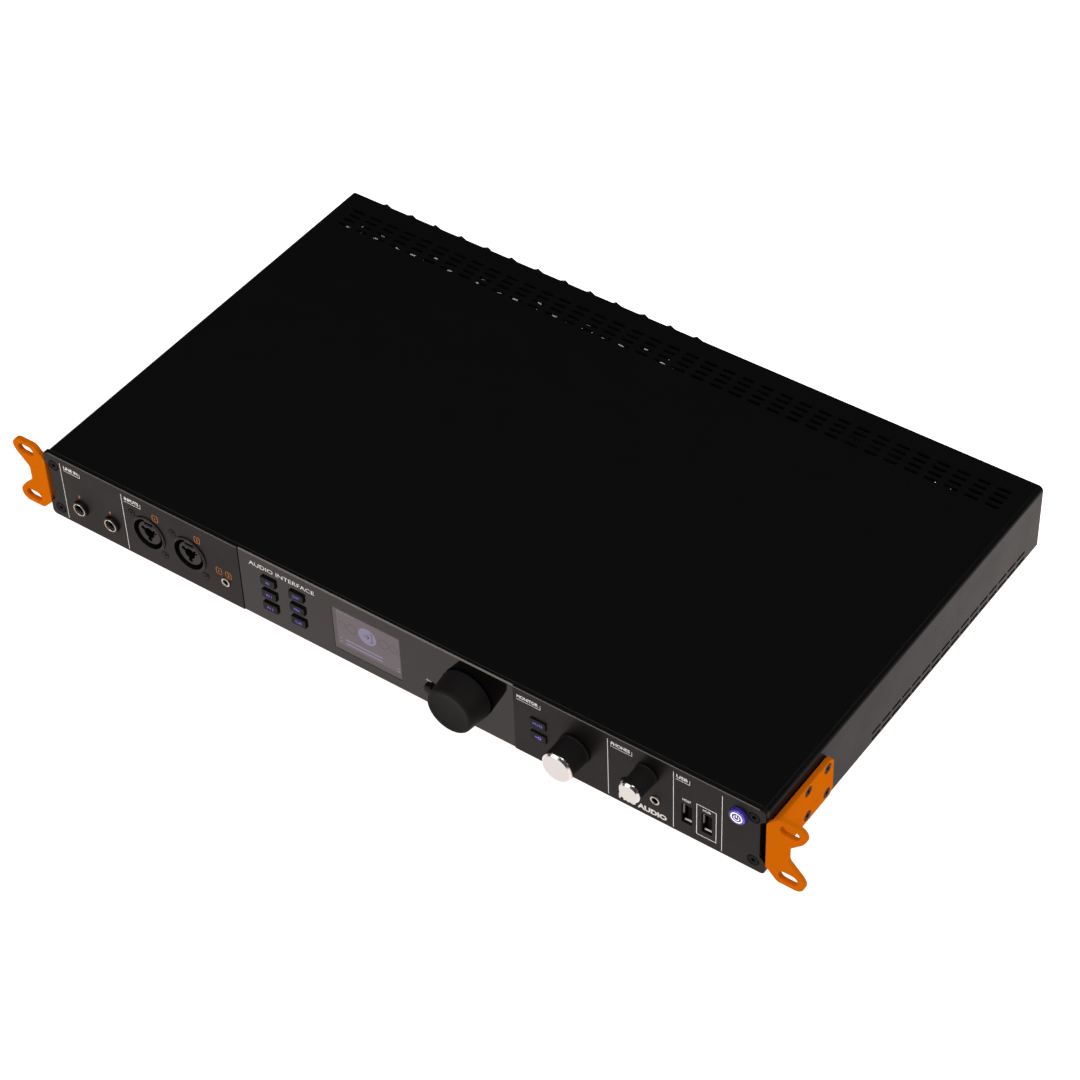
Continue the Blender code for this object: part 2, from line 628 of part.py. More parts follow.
def buttons():
    fascia_rear = FASCIA_RECESS + FASCIA_THICKNESS
    number = 0
    for x in FUNCTION_COLUMNS:
        for z in FUNCTION_ROWS:
            number += 1
            key(f"function_button_{number}", (x, z), fascia_rear)
    for row, z in enumerate(MONITOR_BUTTON_ROWS):
        key(f"monitor_button_{row + 1}", (MONITOR_BUTTON_X, z), PANEL_THICKNESS)
    round_key("back_button", BACK_BUTTON, BACK_RADIUS, BACK_PROUD, fascia_rear, "button_black")
    round_key("power_button", POWER_BUTTON, POWER_RADIUS, POWER_PROUD, PANEL_THICKNESS, "power_lens")


def encoder(prefix, centre):
    """Encoder housing with its threaded bush, and the shaft that turns in it."""
    half = 6.0 * MM if prefix == "main" else 5.4 * MM
    bush = SHAFT_RADIUS + 1.5 * MM
    bore = SHAFT_RADIUS + GAP
    body = box(prefix + "_encoder_body", (centre[0] - half, ENCODER_FRONT, centre[1] - half),
               (centre[0] + half, ENCODER_REAR, centre[1] + half), "socket_metal")
    fuse(body, rods(prefix + "_bush", [centre], bush, 0.0, ENCODER_FRONT + MM, 20))
    cut(body, rods(prefix + "_bore", [centre], bore, -MM, ENCODER_BORE_END, 20))
    rods(prefix + "_encoder_shaft", [centre], SHAFT_RADIUS, -SHAFT_TIP, SHAFT_END, 20, "shaft_steel")


def main_control():
    encoder("main", MAIN_KNOB)
    rods("main_push_plunger", [MAIN_KNOB], PLUNGER_RADIUS, SHAFT_END + GAP, PLUNGER_REAR, 16, "socket_black")
    face, waist, skirt = MAIN_RADII
    rear = -KNOB_CLEARANCE
    bore = SHAFT_RADIUS + GAP
    edge = 0.9 * MM
    profile = [(0.0, -KNOB_PROUD + DISH_DEPTH), (face * 0.55, -KNOB_PROUD + 0.6 * DISH_DEPTH),
               (face - 2.2 * MM, -KNOB_PROUD), (face - edge, -KNOB_PROUD), (face - 0.2 * MM, -KNOB_PROUD + 0.4 * MM),
               (face, -KNOB_PROUD + edge), (waist, rear - SKIRT_THICKNESS), (skirt, rear - SKIRT_THICKNESS),
               (skirt, rear), (bore, rear), (bore, -SHAFT_TIP - GAP), (0.0, -SHAFT_TIP - GAP)]
    turned("main_knob", MAIN_KNOB, profile, KNOB_SEGMENTS, "knob_rubber")


def level_control(prefix, centre, radii):
    """A level knob: black sleeve with a skirt, and a bevelled metal cap on its end."""
    encoder(prefix, centre)
    radius, skirt = radii
    rear, front = -KNOB_CLEARANCE, -KNOB_PROUD + CAP_THICKNESS
    bore = SHAFT_RADIUS + GAP
    profile = [(0.0, front), (radius, front), (radius, rear - SKIRT_THICKNESS), (skirt, rear - SKIRT_THICKNESS),
               (skirt, rear), (bore, rear), (bore, -SHAFT_TIP - GAP), (0.0, -SHAFT_TIP - GAP)]
    turned(prefix + "_knob", centre, profile, KNOB_SEGMENTS // 2, "knob_rubber")
    cap_rear = front - 0.1 * MM
    profile = [(0.0, -KNOB_PROUD), (radius - CAP_BEVEL, -KNOB_PROUD), (radius, -KNOB_PROUD + CAP_BEVEL),
               (radius, cap_rear), (0.0, cap_rear)]
    turned(prefix + "_cap", centre, profile, KNOB_SEGMENTS // 2, "cap_metal")


# ---------------------------------------------------------------- front sockets

def combo_sockets():
    for number, x in enumerate(COMBO_X, start=1):
        name = f"combo_socket_{number}"
        centre = (x, COMBO_Z)
        profile = [(0.0, 0.2 * MM), (COMBO_GROOVE[0] - 0.3 * MM, 0.2 * MM), (COMBO_GROOVE[0], 0.5 * MM),
                   (COMBO_GROOVE[0], 14 * MM), (COMBO_GROOVE[1], 14 * MM),
                   (COMBO_GROOVE[1], -0.2 * MM), (COMBO_GROOVE[1] + 0.4 * MM, -COMBO_PROUD),
                   (COMBO_RADIUS - 0.3 * MM, -COMBO_PROUD), (COMBO_RADIUS, -COMBO_PROUD + 0.3 * MM),
                   (COMBO_RADIUS, 16 * MM), (0.0, 16 * MM)]
        socket = turned(name, centre, profile, COMBO_SEGMENTS, "socket_black")
        half_w, half_h = COMBO_BOX[0] / 2, COMBO_BOX[1] / 2
        housing = box(name + "_housing", (x - half_w, PANEL_THICKNESS + GAP + 11 * MM, COMBO_Z - half_h),
                      (x + half_w, COMBO_LENGTH, COMBO_Z + half_h))
        fuse(socket, housing)
        bore = rods(name + "_bore", [centre], JACK_BORE, -2 * MM, COMBO_LENGTH - 2 * MM, 16)
        pins = [(x + 4.1 * MM * math.cos(math.radians(a)), COMBO_Z + 4.1 * MM * math.sin(math.radians(a)))
                for a in (-90, 28, 152)]
        slots = rods(name + "_pin_slots", pins, 1.3 * MM, -2 * MM, 12 * MM, 8)
        key_slot = box(name + "_key", (x - 2.6 * MM, -2 * MM, COMBO_Z + COMBO_CORE_RADIUS - 1.6 * MM),
                       (x + 2.6 * MM, 11 * MM, COMBO_Z + COMBO_GROOVE[1] - 0.3 * MM))
        cut(socket, bore, slots, key_slot)


def jack_socket(name, centre, proud):
    tip, base = JACK_COLLAR
    profile = [(0.0, -proud), (tip, -proud), (tip + 0.45 * MM, -proud + 0.2 * MM), (base, -0.5 * MM),
               (base, -GAP), (JACK_BARREL, -GAP), (JACK_BARREL, 8 * MM), (0.0, 8 * MM)]
    socket = turned(name, centre, profile, 24, "socket_black")
    half = JACK_BOX / 2
    housing = box(name + "_housing", (centre[0] - half, PANEL_THICKNESS + GAP, centre[1] - half),
                  (centre[0] + half, JACK_LENGTH, centre[1] + half))
    fuse(socket, housing)
    cut(socket, rods(name + "_bore", [centre], JACK_BORE, -4 * MM, JACK_LENGTH - 2 * MM, 20))


def minijack_socket(name, centre):
    nut = MINIJACK_RADIUS
    barrel = 2.6 * MM
    profile = [(0.0, -MINIJACK_PROUD), (nut - 0.3 * MM, -MINIJACK_PROUD), (nut, -MINIJACK_PROUD + 0.3 * MM),
               (nut, -0.1 * MM), (barrel, -0.1 * MM), (barrel, 6 * MM), (0.0, 6 * MM)]
    socket = turned(name, centre, profile, 20, "socket_metal")
    half = MINIJACK_BOX / 2
    housing = box(name + "_housing", (centre[0] - half, PANEL_THICKNESS + GAP, centre[1] - half),
                  (centre[0] + half, MINIJACK_LENGTH, centre[1] + half))
    fuse(socket, housing)
    cut(socket, rods(name + "_bore", [centre], MINIJACK_BORE, -4 * MM, MINIJACK_LENGTH - MM, 16))


def usb_sockets():
    front, rear = PANEL_THICKNESS + GAP, PANEL_THICKNESS + GAP + USB_LENGTH
    half_w, half_h = USB_OPENING[0] / 2, USB_OPENING[1] / 2
    for number, x in enumerate(USB_X, start=1):
        name = f"usb_socket_{number}"
        shell = box(name, (x - half_w - USB_WALL, front, USB_Z - half_h - USB_WALL),
                    (x + half_w + USB_WALL, rear, USB_Z + half_h + USB_WALL), "socket_metal")
        inside = box(name + "_inside", (x - half_w, front - MM, USB_Z - half_h),
                     (x + half_w, rear - USB_WALL * 2, USB_Z + half_h))
        tongue = box(name + "_tongue", (x + 0.2 * MM, front + 1.2 * MM, USB_Z - USB_TONGUE[1] / 2),
                     (x + 0.2 * MM + USB_TONGUE[0], rear - USB_WALL, USB_Z + USB_TONGUE[1] / 2))
        cut(shell, inside)
        fuse(shell, tongue)


def front_sockets():
    combo_sockets()
    for number, x in enumerate(JACK_X, start=3):
        jack_socket(f"instrument_jack_{number}", (x, JACK_Z), JACK_PROUD)
    jack_socket("phones_jack_large", PHONES_JACK, PHONES_JACK_PROUD)
    minijack_socket("line_minijack", MINIJACK_LINE)
    minijack_socket("phones_minijack", MINIJACK_PHONES)
    usb_sockets()


# ---------------------------------------------------------------- boards

def switch_places():
    places = [(x, z) for x in FUNCTION_COLUMNS for z in FUNCTION_ROWS]
    places += [(MONITOR_BUTTON_X, z) for z in MONITOR_BUTTON_ROWS]
    return places + [BACK_BUTTON, POWER_BUTTON]


def front_board():
    x0, x1, z0, z1 = FRONT_BOARD
    rear = FRONT_BOARD_DEPTH + BOARD_THICKNESS
    board = box("front_control_board", (x0, FRONT_BOARD_DEPTH, z0), (x1, rear, z1), "board_green")
    notch = box("board_notch", (FRONT_BOARD_CUT[0], 0.0, 0.0),
                (FRONT_BOARD_CUT[1], 2 * rear, FRONT_BOARD_CUT[2]))
    cut(board, notch)
    half = SWITCH_SIZE / 2
    for number, (x, z) in enumerate(switch_places()):
        switch = box(f"switch_{number}", (x - half, SWITCH_FRONT, z - half),
                     (x + half, FRONT_BOARD_DEPTH + BOARD_THICKNESS / 2, z + half))
        fuse(board, switch)


def main_board():
    x0, x1, y0, y1 = MAIN_BOARD
    top = MAIN_BOARD_Z + BOARD_THICKNESS
    board = box("main_board", (x0, y0, MAIN_BOARD_Z), (x1, y1, top), "board_green")
    blocks = [((120, 150, 90, 130), 14), ((30, 70, 100, 140), 10), ((-60, -20, 95, 135), 8),
              ((-150, -110, 150, 190), 12), ((150, 195, 160, 215), 22), ((60, 110, 180, 215), 16)]
    for number, ((bx0, bx1, by0, by1), height) in enumerate(blocks):
        block = box(f"component_{number}", (bx0 * MM, by0 * MM, MAIN_BOARD_Z + BOARD_THICKNESS / 2),
                    (bx1 * MM, by1 * MM, top + height * MM))
        fuse(board, block)


# ---------------------------------------------------------------- screws and ears

def countersunk_screw(name, location, rotation):
    """Countersunk screw with a hexagon socket; its head faces local -Y."""
    head, shank = SCREW_HEAD_RADIUS, SCREW_SHANK_RADIUS
    mesh = bpy.data.meshes.new(name)
    profile = [(0.0, 0.0), (head, 0.0), (head, -0.25 * MM), (shank, -1.6 * MM), (shank, -SCREW_LENGTH),
               (0.0, -SCREW_LENGTH)]
    mesh.from_pydata([(r, 0.0, z) for r, z in profile], [(i, i + 1) for i in range(len(profile) - 1)], [])
    screw_obj = add_object(name, mesh, location, "screw_black")
    screw_obj.rotation_euler = rotation
    turn = screw_obj.modifiers.new("turn", "SCREW")
    turn.axis = "Z"
    turn.steps = SCREW_SEGMENTS
    turn.render_steps = SCREW_SEGMENTS
    turn.use_merge_vertices = True
    turn.merge_threshold = 0.01 * MM
    turn.use_smooth_shade = True
    bm = bmesh.new()
    bmesh.ops.create_cone(bm, cap_ends=True, segments=6, radius1=SCREW_SOCKET, radius2=SCREW_SOCKET,
                          depth=2.4 * MM)
    socket_mesh = bpy.data.meshes.new(name + "_socket")
    bm.to_mesh(socket_mesh)
    bm.free()
    socket = add_object(name + "_socket", socket_mesh, location)
    socket.rotation_euler = rotation
    cut(screw_obj, socket)


def panel_screws():
    for number, (x, z) in enumerate(panel_screw_places(), start=1):
        countersunk_screw(f"panel_screw_{number}", at(x, 0.1 * MM, z), (math.pi / 2, 0, 0))


def ear_outline():
    """Outline of the right ear's front flange, counter-clockwise from its lower inner corner."""
    mid, half, tip = EAR_MID_Z, EAR_HALF_HEIGHT, EAR_SPAN / 2
    inner, shoulder = EAR_INNER_X, 14.8 * MM
    arm = 5.2 * MM
    notch_x, notch_half, mouth = 231.9 * MM, 4.6 * MM, 239.6 * MM
    lower = [(inner, mid - shoulder)]
    lower += arc((inner + 8.2 * MM, mid - half + 4 * MM), 4 * MM, 218, 270, 3)
    lower += arc((tip - arm, mid - half + arm), arm, 270, 380, 6)
    lower += [(mouth, mid - notch_half - (mouth - notch_x)), (notch_x, mid - notch_half)]
    upper = [(x, 2 * mid - z) for x, z in reversed(lower)]
    return lower + upper


def rack_ear(side, label):
    """One ear: flange in the plane of the front panel and a plate along the case side."""
    name = f"rack_ear_{label}"
    points = [(side * x, z) for x, z in ear_outline()]
    if side < 0:
        points.reverse()
    ear = plate_xz(name, points, 0.0, EAR_THICKNESS, "ear_orange")
    low_z, high_z = EAR_MID_Z - EAR_PLATE_HALF_HEIGHT, EAR_MID_Z + EAR_PLATE_HALF_HEIGHT
    corner = EAR_PLATE_CORNER
    plate_points = [(0.5 * MM, low_z)]
    plate_points += arc((EAR_PLATE_DEPTH - corner, low_z + corner), corner, -90, 0, 3)
    plate_points += arc((EAR_PLATE_DEPTH - corner, high_z - corner), corner, 0, 90, 3)
    plate_points += [(0.5 * MM, high_z)]
    inner, outer = EAR_INNER_X, EAR_INNER_X + EAR_THICKNESS
    low_x, high_x = (inner, outer) if side > 0 else (-outer, -inner)
    fuse(ear, plate_yz(name + "_plate", plate_points, low_x, high_x))

    front, rear = -EAR_THICKNESS, 2 * EAR_THICKNESS
    for number, dz in enumerate((-EAR_SLOT_OFFSET, EAR_SLOT_OFFSET)):
        centre = (side * EAR_SLOT_X, EAR_MID_Z + dz)
        slot = centred_rectangle(centre, EAR_SLOT, EAR_SLOT[1] / 2 - 0.01 * MM, 5)
        cut(ear, plate_xz(f"{name}_slot_{number}", slot, front, rear))
    face_x = side * outer
    turn = (0, side * math.pi / 2, 0)
    for number, (depth, z) in enumerate(ear_screw_places(), start=1):
        countersunk_screw(f"ear_screw_{label}_{number}", at(face_x - side * 0.1 * MM, depth, z), turn)
        bm = bmesh.new()
        bmesh.ops.create_cone(bm, cap_ends=True, segments=16, radius1=SCREW_SHANK_RADIUS + GAP,
                              radius2=SCREW_HEAD_RADIUS + 1.5 * GAP, depth=2.0 * MM)
        mesh = bpy.data.meshes.new("sink")
        bm.to_mesh(mesh)
        bm.free()
        sink = add_object(f"{name}_sink_{number}", mesh, at(face_x - side * 0.8 * MM, depth, z))
        sink.rotation_euler = turn
        cut(ear, sink)
    cut(ear, ear_screw_holes(name + "_screw_holes"))


# ---------------------------------------------------------------- rear sockets

def rear_column(index):
    return REAR_JACK_FIRST_X + index * REAR_JACK_PITCH


def input_jacks():
    return [(rear_column(i), z) for i in range(INPUT_COLUMNS) for z in REAR_JACK_ROWS]


def output_jacks():
    first = INPUT_COLUMNS
    upper = [(rear_column(first + i), REAR_JACK_ROWS[0]) for i in range(OUTPUT_COLUMNS)]
    lower = [(rear_column(first + i), REAR_JACK_ROWS[1]) for i in range(OUTPUT_LOWER_COLUMNS)]
    return upper + lower


def rear_minijacks():
    first = INPUT_COLUMNS + OUTPUT_LOWER_COLUMNS
    count = OUTPUT_COLUMNS - OUTPUT_LOWER_COLUMNS
    return [(rear_column(first + i), REAR_JACK_ROWS[1]) for i in range(count)]


def jack_bank(name, jacks, minis):
    """A moulded row of jacks behind the rear panel, with bushes and nuts outside it."""
    xs = [x for x, _ in jacks]
    low_x, high_x = min(xs) - 8.2 * MM, max(xs) + 8.2 * MM
    rear = BODY_DEPTH - SHEET - GAP
    bottom = MAIN_BOARD_Z + BOARD_THICKNESS + GAP
    bank = box(name, (low_x, rear - REAR_HOUSING, bottom), (high_x, rear, 41.2 * MM), "socket_black")
    outside = BODY_DEPTH + REAR_NUT_PROUD
    fuse(bank, rods(name + "_bushes", jacks, REAR_BARREL, rear - MM, outside, REAR_SEGMENTS))
    nut_rear = outside - 0.5 * MM
    fuse(bank, rods(name + "_nuts", jacks, REAR_NUT_RADIUS, BODY_DEPTH + GAP, nut_rear, 6, turn=REAR_NUT_TURN))
    if minis:
        fuse(bank, rods(name + "_mini_bushes", minis, MINIJACK_RADIUS, rear - MM, BODY_DEPTH + 0.8 * MM,
                        REAR_SEGMENTS))
        cut(bank, rods(name + "_mini_bores", minis, MINIJACK_BORE, rear - 10 * MM, outside, BORE_SEGMENTS))
    cut(bank, rods(name + "_bores", jacks, JACK_BORE, rear - REAR_BORE_DEPTH, outside + MM, BORE_SEGMENTS))


def word_clock_sockets():
    outer, inner = BNC_RADII
    rear = BODY_DEPTH - SHEET - GAP
    centres = [(x, MID_Z) for x in BNC_X]
    block = box("word_clock_sockets", (BNC_X[0] - 8 * MM, rear - 9 * MM, MID_Z - 8 * MM),
                (BNC_X[1] + 8 * MM, rear, MID_Z + 8 * MM), "socket_metal")
    fuse(block, rods("bnc_barrels", centres, outer, rear - MM, BODY_DEPTH + REAR_PROUD, 20))
    fuse(block, rods("bnc_nuts", centres, 7.2 * MM, BODY_DEPTH + GAP, BODY_DEPTH + 2.3 * MM, 6))
    lugs = [(x, BODY_DEPTH + 6.4 * MM, MID_Z) for x in BNC_X]
    fuse(block, boxes("bnc_lugs", lugs, (2 * MM, 2 * MM, 2 * outer + 2 * MM)))
    cut(block, rods("bnc_bores", centres, inner, BODY_DEPTH + MM, BODY_DEPTH + REAR_PROUD + MM, 20))
    fuse(block, rods("bnc_pins", centres, 1.1 * MM, BODY_DEPTH, BODY_DEPTH + 7 * MM, 10))


def optical_sockets():
    rear = BODY_DEPTH - SHEET - GAP
    half = OPTICAL_FACE / 2
    low = (OPTICAL_X[0] - half - MM, rear - 12 * MM, OPTICAL_ROWS[0] - half)
    high = (OPTICAL_X[1] + half + MM, rear, OPTICAL_ROWS[1] + half)
    block = box("optical_sockets", low, high, "socket_black")
    places = [(x, z) for x in OPTICAL_X for z in OPTICAL_ROWS]
    collars = boxes("optical_collars", [(x, BODY_DEPTH - 0.2 * MM, z) for x, z in places],
                    (OPTICAL_FACE, 4 * MM, OPTICAL_FACE))
    ports = boxes("optical_ports", [(x, BODY_DEPTH + 1.3 * MM, z) for x, z in places],
                  (OPTICAL_PORT, 4 * MM, OPTICAL_PORT))
    fuse(block, collars)
    cut(block, ports)


def power_and_data_inlets():
    rear = BODY_DEPTH - SHEET - GAP
    barrel, bore, pin = DC_BARREL
    x, z = DC_INLET
    inlet = box("dc_inlet", (x - 6 * MM, rear - 13 * MM, z - 6 * MM), (x + 6 * MM, rear, z + 6 * MM),
                "socket_black")
    fuse(inlet, rods("dc_barrel", [DC_INLET], barrel, rear - MM, BODY_DEPTH + 0.8 * MM, DC_SEGMENTS))
    cut(inlet, rods("dc_bore", [DC_INLET], bore, rear - 9 * MM, BODY_DEPTH + 2 * MM, DC_SEGMENTS))
    fuse(inlet, rods("dc_pin", [DC_INLET], pin, rear - 10 * MM, BODY_DEPTH - 0.5 * MM, BORE_SEGMENTS))
    x, z = USB_C
    half_w, half_h = USB_C_OPENING[0] / 2, USB_C_OPENING[1] / 2
    wall = 0.5 * MM
    shell = plate_xz("usb_c_socket", centred_rectangle(USB_C, (2 * (half_w + wall), 2 * (half_h + wall)),
                                                       half_h, 4),
                     rear - 8 * MM, BODY_DEPTH + 0.1 * MM, "socket_metal")
    inside = plate_xz("usb_c_inside", centred_rectangle(USB_C, USB_C_OPENING, half_h - 0.01 * MM, 4),
                      rear - 6 * MM, BODY_DEPTH + MM)
    tongue = box("usb_c_tongue", (x - 3.3 * MM, rear - 7 * MM, z - 0.35 * MM),
                 (x + 3.3 * MM, BODY_DEPTH - MM, z + 0.35 * MM))
    cut(shell, inside)
    fuse(shell, tongue)


def rear_sockets():
    jack_bank("input_jack_bank", input_jacks(), [])
    jack_bank("output_jack_bank", output_jacks(), rear_minijacks())
    word_clock_sockets()
    optical_sockets()
    power_and_data_inlets()


def main():
    clear_scene()
    make_materials()
    case_shells()
    rear_panel()
    front_panel()
    display_unit()
    buttons()
    main_control()
    level_control("monitor", MONITOR_KNOB, MONITOR_RADII)
    level_control("phones", PHONES_KNOB, PHONES_RADII)
    front_sockets()
    front_board()
    main_board()
    panel_screws()
    rack_ear(1, "right")
    rack_ear(-1, "left")
    rear_sockets()
    for curve in list(bpy.data.curves):
        bpy.data.curves.remove(curve)


main()
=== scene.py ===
"""Looks of the rack-mount audio interface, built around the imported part.

All sizes below are millimetres. X runs to the right seen from the front, depth runs
back from the face of the front panel, Z runs up from the underside.
"""
import json
import math

import bmesh
import bpy
from mathutils import Matrix, Vector


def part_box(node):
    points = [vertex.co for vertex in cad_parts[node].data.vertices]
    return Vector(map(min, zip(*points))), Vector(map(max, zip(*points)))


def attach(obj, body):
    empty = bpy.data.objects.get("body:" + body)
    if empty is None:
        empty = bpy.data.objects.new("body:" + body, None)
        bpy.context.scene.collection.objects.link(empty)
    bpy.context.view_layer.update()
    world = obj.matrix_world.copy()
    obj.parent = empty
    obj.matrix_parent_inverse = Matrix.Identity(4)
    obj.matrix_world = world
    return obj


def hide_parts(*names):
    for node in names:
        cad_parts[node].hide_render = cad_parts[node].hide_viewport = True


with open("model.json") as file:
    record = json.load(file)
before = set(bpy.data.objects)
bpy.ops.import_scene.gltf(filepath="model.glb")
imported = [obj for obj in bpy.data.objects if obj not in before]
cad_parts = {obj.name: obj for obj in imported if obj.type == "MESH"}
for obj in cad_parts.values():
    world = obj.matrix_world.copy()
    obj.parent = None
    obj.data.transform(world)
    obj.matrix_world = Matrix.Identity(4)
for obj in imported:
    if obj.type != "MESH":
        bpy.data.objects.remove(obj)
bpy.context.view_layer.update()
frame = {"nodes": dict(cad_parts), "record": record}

MM = 0.001
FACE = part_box("front_panel")[0].y

# Case: half width, top, depth, sheet, outer bend radius, lower edge and front edge of the cover
HALF = 219.7
TOP = 43.0
DEPTH = 259.7
SHEET = 1.2
BEND = 3.0
COVER_BOTTOM = 2.5
COVER_FRONT = 3.3

# Vent slots: how many, how far apart, the first one's depth, length and width of each
TOP_VENTS = (36, 4)
TOP_VENT_PITCH = (11.69, 4.4)
TOP_VENT_DEPTH = 233.6
TOP_VENT_SLOT = (8.3, 2.3)
SIDE_VENTS = 16
SIDE_VENT_PITCH = 9.42
SIDE_VENT_DEPTH = 100.1
SIDE_VENT_SLOT = (8.4, 1.6)
SIDE_VENT_ROWS = (4.9, 9.1)

# Front panel and its centre section
PANEL_HALF = 220.0
PANEL_TOP = 43.7
PANEL_THICKNESS = 3.0
PANEL_CORNER = 2.6
NOTCH_HALF = 217.0
EDGE_REACH = 216.5
MID = PANEL_TOP / 2
FASCIA = (-90.5, 77.9)
FASCIA_FACE = 0.4
SCREEN = (-32.1, 9.8, 6.4, 35.5)
PANEL_SCREWS = [(side * 213.5, 21.5 + dz) for side in (-1, 1) for dz in (-14.9, 14.9)]
PRINT_THICKNESS = 0.03
PANEL_PRINT_DEPTH = -0.03
FASCIA_PRINT_DEPTH = 0.38

# Controls
KNOB_FACE = -14.5
MAIN_KNOB = (50.2, MID)
MONITOR_KNOB = (113.5, 21.5)
PHONES_KNOB = (154.7, 29.9)
POWER = (205.3, 33.0)
BACK = (27.2, 11.6)
FUNCTION_KEYS = [(x, z) for x in (-72.0, -54.1) for z in (29.85, 21.0, 12.15)]
MONITOR_KEYS = [(92.5, 26.0), (92.5, 17.0)]
KEY_SIZE = (9.2, 5.2)
KEY_PROUD = 0.8

# Front sockets
COMBOS = ((-151.3, 20.9), (-124.3, 20.9))
INSTRUMENT_JACKS = ((-198.2, 14.1), (-177.0, 14.1))
PHONES_JACK = (144.2, 14.6)
LINE_MINIJACK = (-101.1, 13.8)
PHONES_MINIJACK = (159.3, 13.9)
USB_PORTS = ((176.9, 15.1), (188.0, 15.1))

# Rack ears
EAR_MID = 21.65
EAR_HALF_HEIGHT = 21.6
EAR_INNER = 220.1
EAR_OUTER = 223.1
EAR_TIP = 241.3
EAR_THICKNESS = 3.0
EAR_SLOT = (10.5, 6.2)
EAR_SLOT_X = 232.55
EAR_SLOT_HALF_PITCH = 15.875
EAR_SCREWS = [(d, EAR_MID + dz) for d in (32.1, 49.1) for dz in (-8.5, 8.5)]

# Rear jacks
REAR_X = [-197.4 + 17.34 * i for i in range(13)]
REAR_ROWS = (34.6, 14.4)
REAR_INPUTS = [(x, z) for x in REAR_X[:8] for z in REAR_ROWS]
REAR_OUTPUTS = [(x, REAR_ROWS[0]) for x in REAR_X[8:]] + [(x, REAR_ROWS[1]) for x in REAR_X[8:10]]
REAR_MINIJACKS = [(x, REAR_ROWS[1]) for x in REAR_X[10:]]

# Camera: yaw, pitch and roll in degrees, focal length, and its place
CAMERA_ANGLES = (37.008, 44.166, -2.359)
CAMERA_LENS = 102.926
CAMERA_SENSOR = 36.0
CAMERA_PLACE = (692.225, -788.212, 1109.508)


# ---------------------------------------------------------------- finishes

NOISE_RANGE = (0.3, 0.7)
BROAD_SCALE = 45.0
GRAIN_HEIGHT = 0.0002
# Edge lightening: partly rubbed wear, partly painted highlight on edges and slot rims
EDGE_WEAR_HIGHLIGHT_RADIUS = 0.0003
EDGE_WEAR_HIGHLIGHT_TURN = (0.995, 0.8)
EDGE_WEAR_HIGHLIGHT_AMOUNT = 0.5


def node(tree, kind, **inputs):
    """Add a shader node and set the named inputs."""
    made = tree.nodes.new(kind)
    for key, value in inputs.items():
        made.inputs[key.replace("_", " ")].default_value = value
    return made


def finish(name, colour, roughness, metallic=0.0, grain=1400.0, bump=0.02, spread=0.05, edge_wear_and_highlight=None,
           emission=None, strength=0.0, specular=0.5, uneven=0.08):
    """A finish with fine grain, uneven roughness, faint colour mottling and lighter edges, partly rubbed
    wear and partly painted highlight.
    """
    mat = bpy.data.materials.new(name)
    mat.use_nodes = True
    tree = mat.node_tree
    shader = tree.nodes["Principled BSDF"]
    shader.inputs["Metallic"].default_value = metallic
    shader.inputs["Specular IOR Level"].default_value = specular
    if emission:
        shader.inputs["Emission Color"].default_value = (*emission, 1.0)
        shader.inputs["Emission Strength"].default_value = strength
    coords = tree.nodes.new("ShaderNodeTexCoord")
    fine = node(tree, "ShaderNodeTexNoise", Scale=grain, Detail=3.0, Roughness=0.6)
    broad = node(tree, "ShaderNodeTexNoise", Scale=BROAD_SCALE, Detail=4.0, Roughness=0.55)
    tree.links.new(coords.outputs["Object"], fine.inputs["Vector"])
    tree.links.new(coords.outputs["Object"], broad.inputs["Vector"])

    rough = tree.nodes.new("ShaderNodeMapRange")
    rough.inputs["From Min"].default_value = NOISE_RANGE[0]
    rough.inputs["From Max"].default_value = NOISE_RANGE[1]
    rough.inputs["To Min"].default_value = max(0.02, roughness - spread)
    rough.inputs["To Max"].default_value = min(1.0, roughness + spread)
    tree.links.new(broad.outputs["Fac"], rough.inputs["Value"])
    tree.links.new(rough.outputs["Result"], shader.inputs["Roughness"])

    mottle = tree.nodes.new("ShaderNodeMix")
    mottle.data_type = "RGBA"
    mottle.inputs["A"].default_value = (*[c * (1 - uneven) for c in colour], 1.0)
    mottle.inputs["B"].default_value = (*[min(1.0, c * (1 + uneven)) for c in colour], 1.0)
    tree.links.new(broad.outputs["Fac"], mottle.inputs["Factor"])
    result = mottle.outputs["Result"]
    # Edges mixed toward a lighter colour: rubbed wear and painted highlight
    if edge_wear_and_highlight:
        edge = edge_wear_highlight_mask(tree)
        worn_or_lit = tree.nodes.new("ShaderNodeMix")
        worn_or_lit.data_type = "RGBA"
        worn_or_lit.inputs["B"].default_value = (*edge_wear_and_highlight, 1.0)
        tree.links.new(edge, worn_or_lit.inputs["Factor"])
        tree.links.new(result, worn_or_lit.inputs["A"])
        result = worn_or_lit.outputs["Result"]
    tree.links.new(result, shader.inputs["Base Color"])

    relief = node(tree, "ShaderNodeBump", Strength=bump, Distance=GRAIN_HEIGHT)
    tree.links.new(fine.outputs["Fac"], relief.inputs["Height"])
    tree.links.new(relief.outputs["Normal"], shader.inputs["Normal"])
    return mat


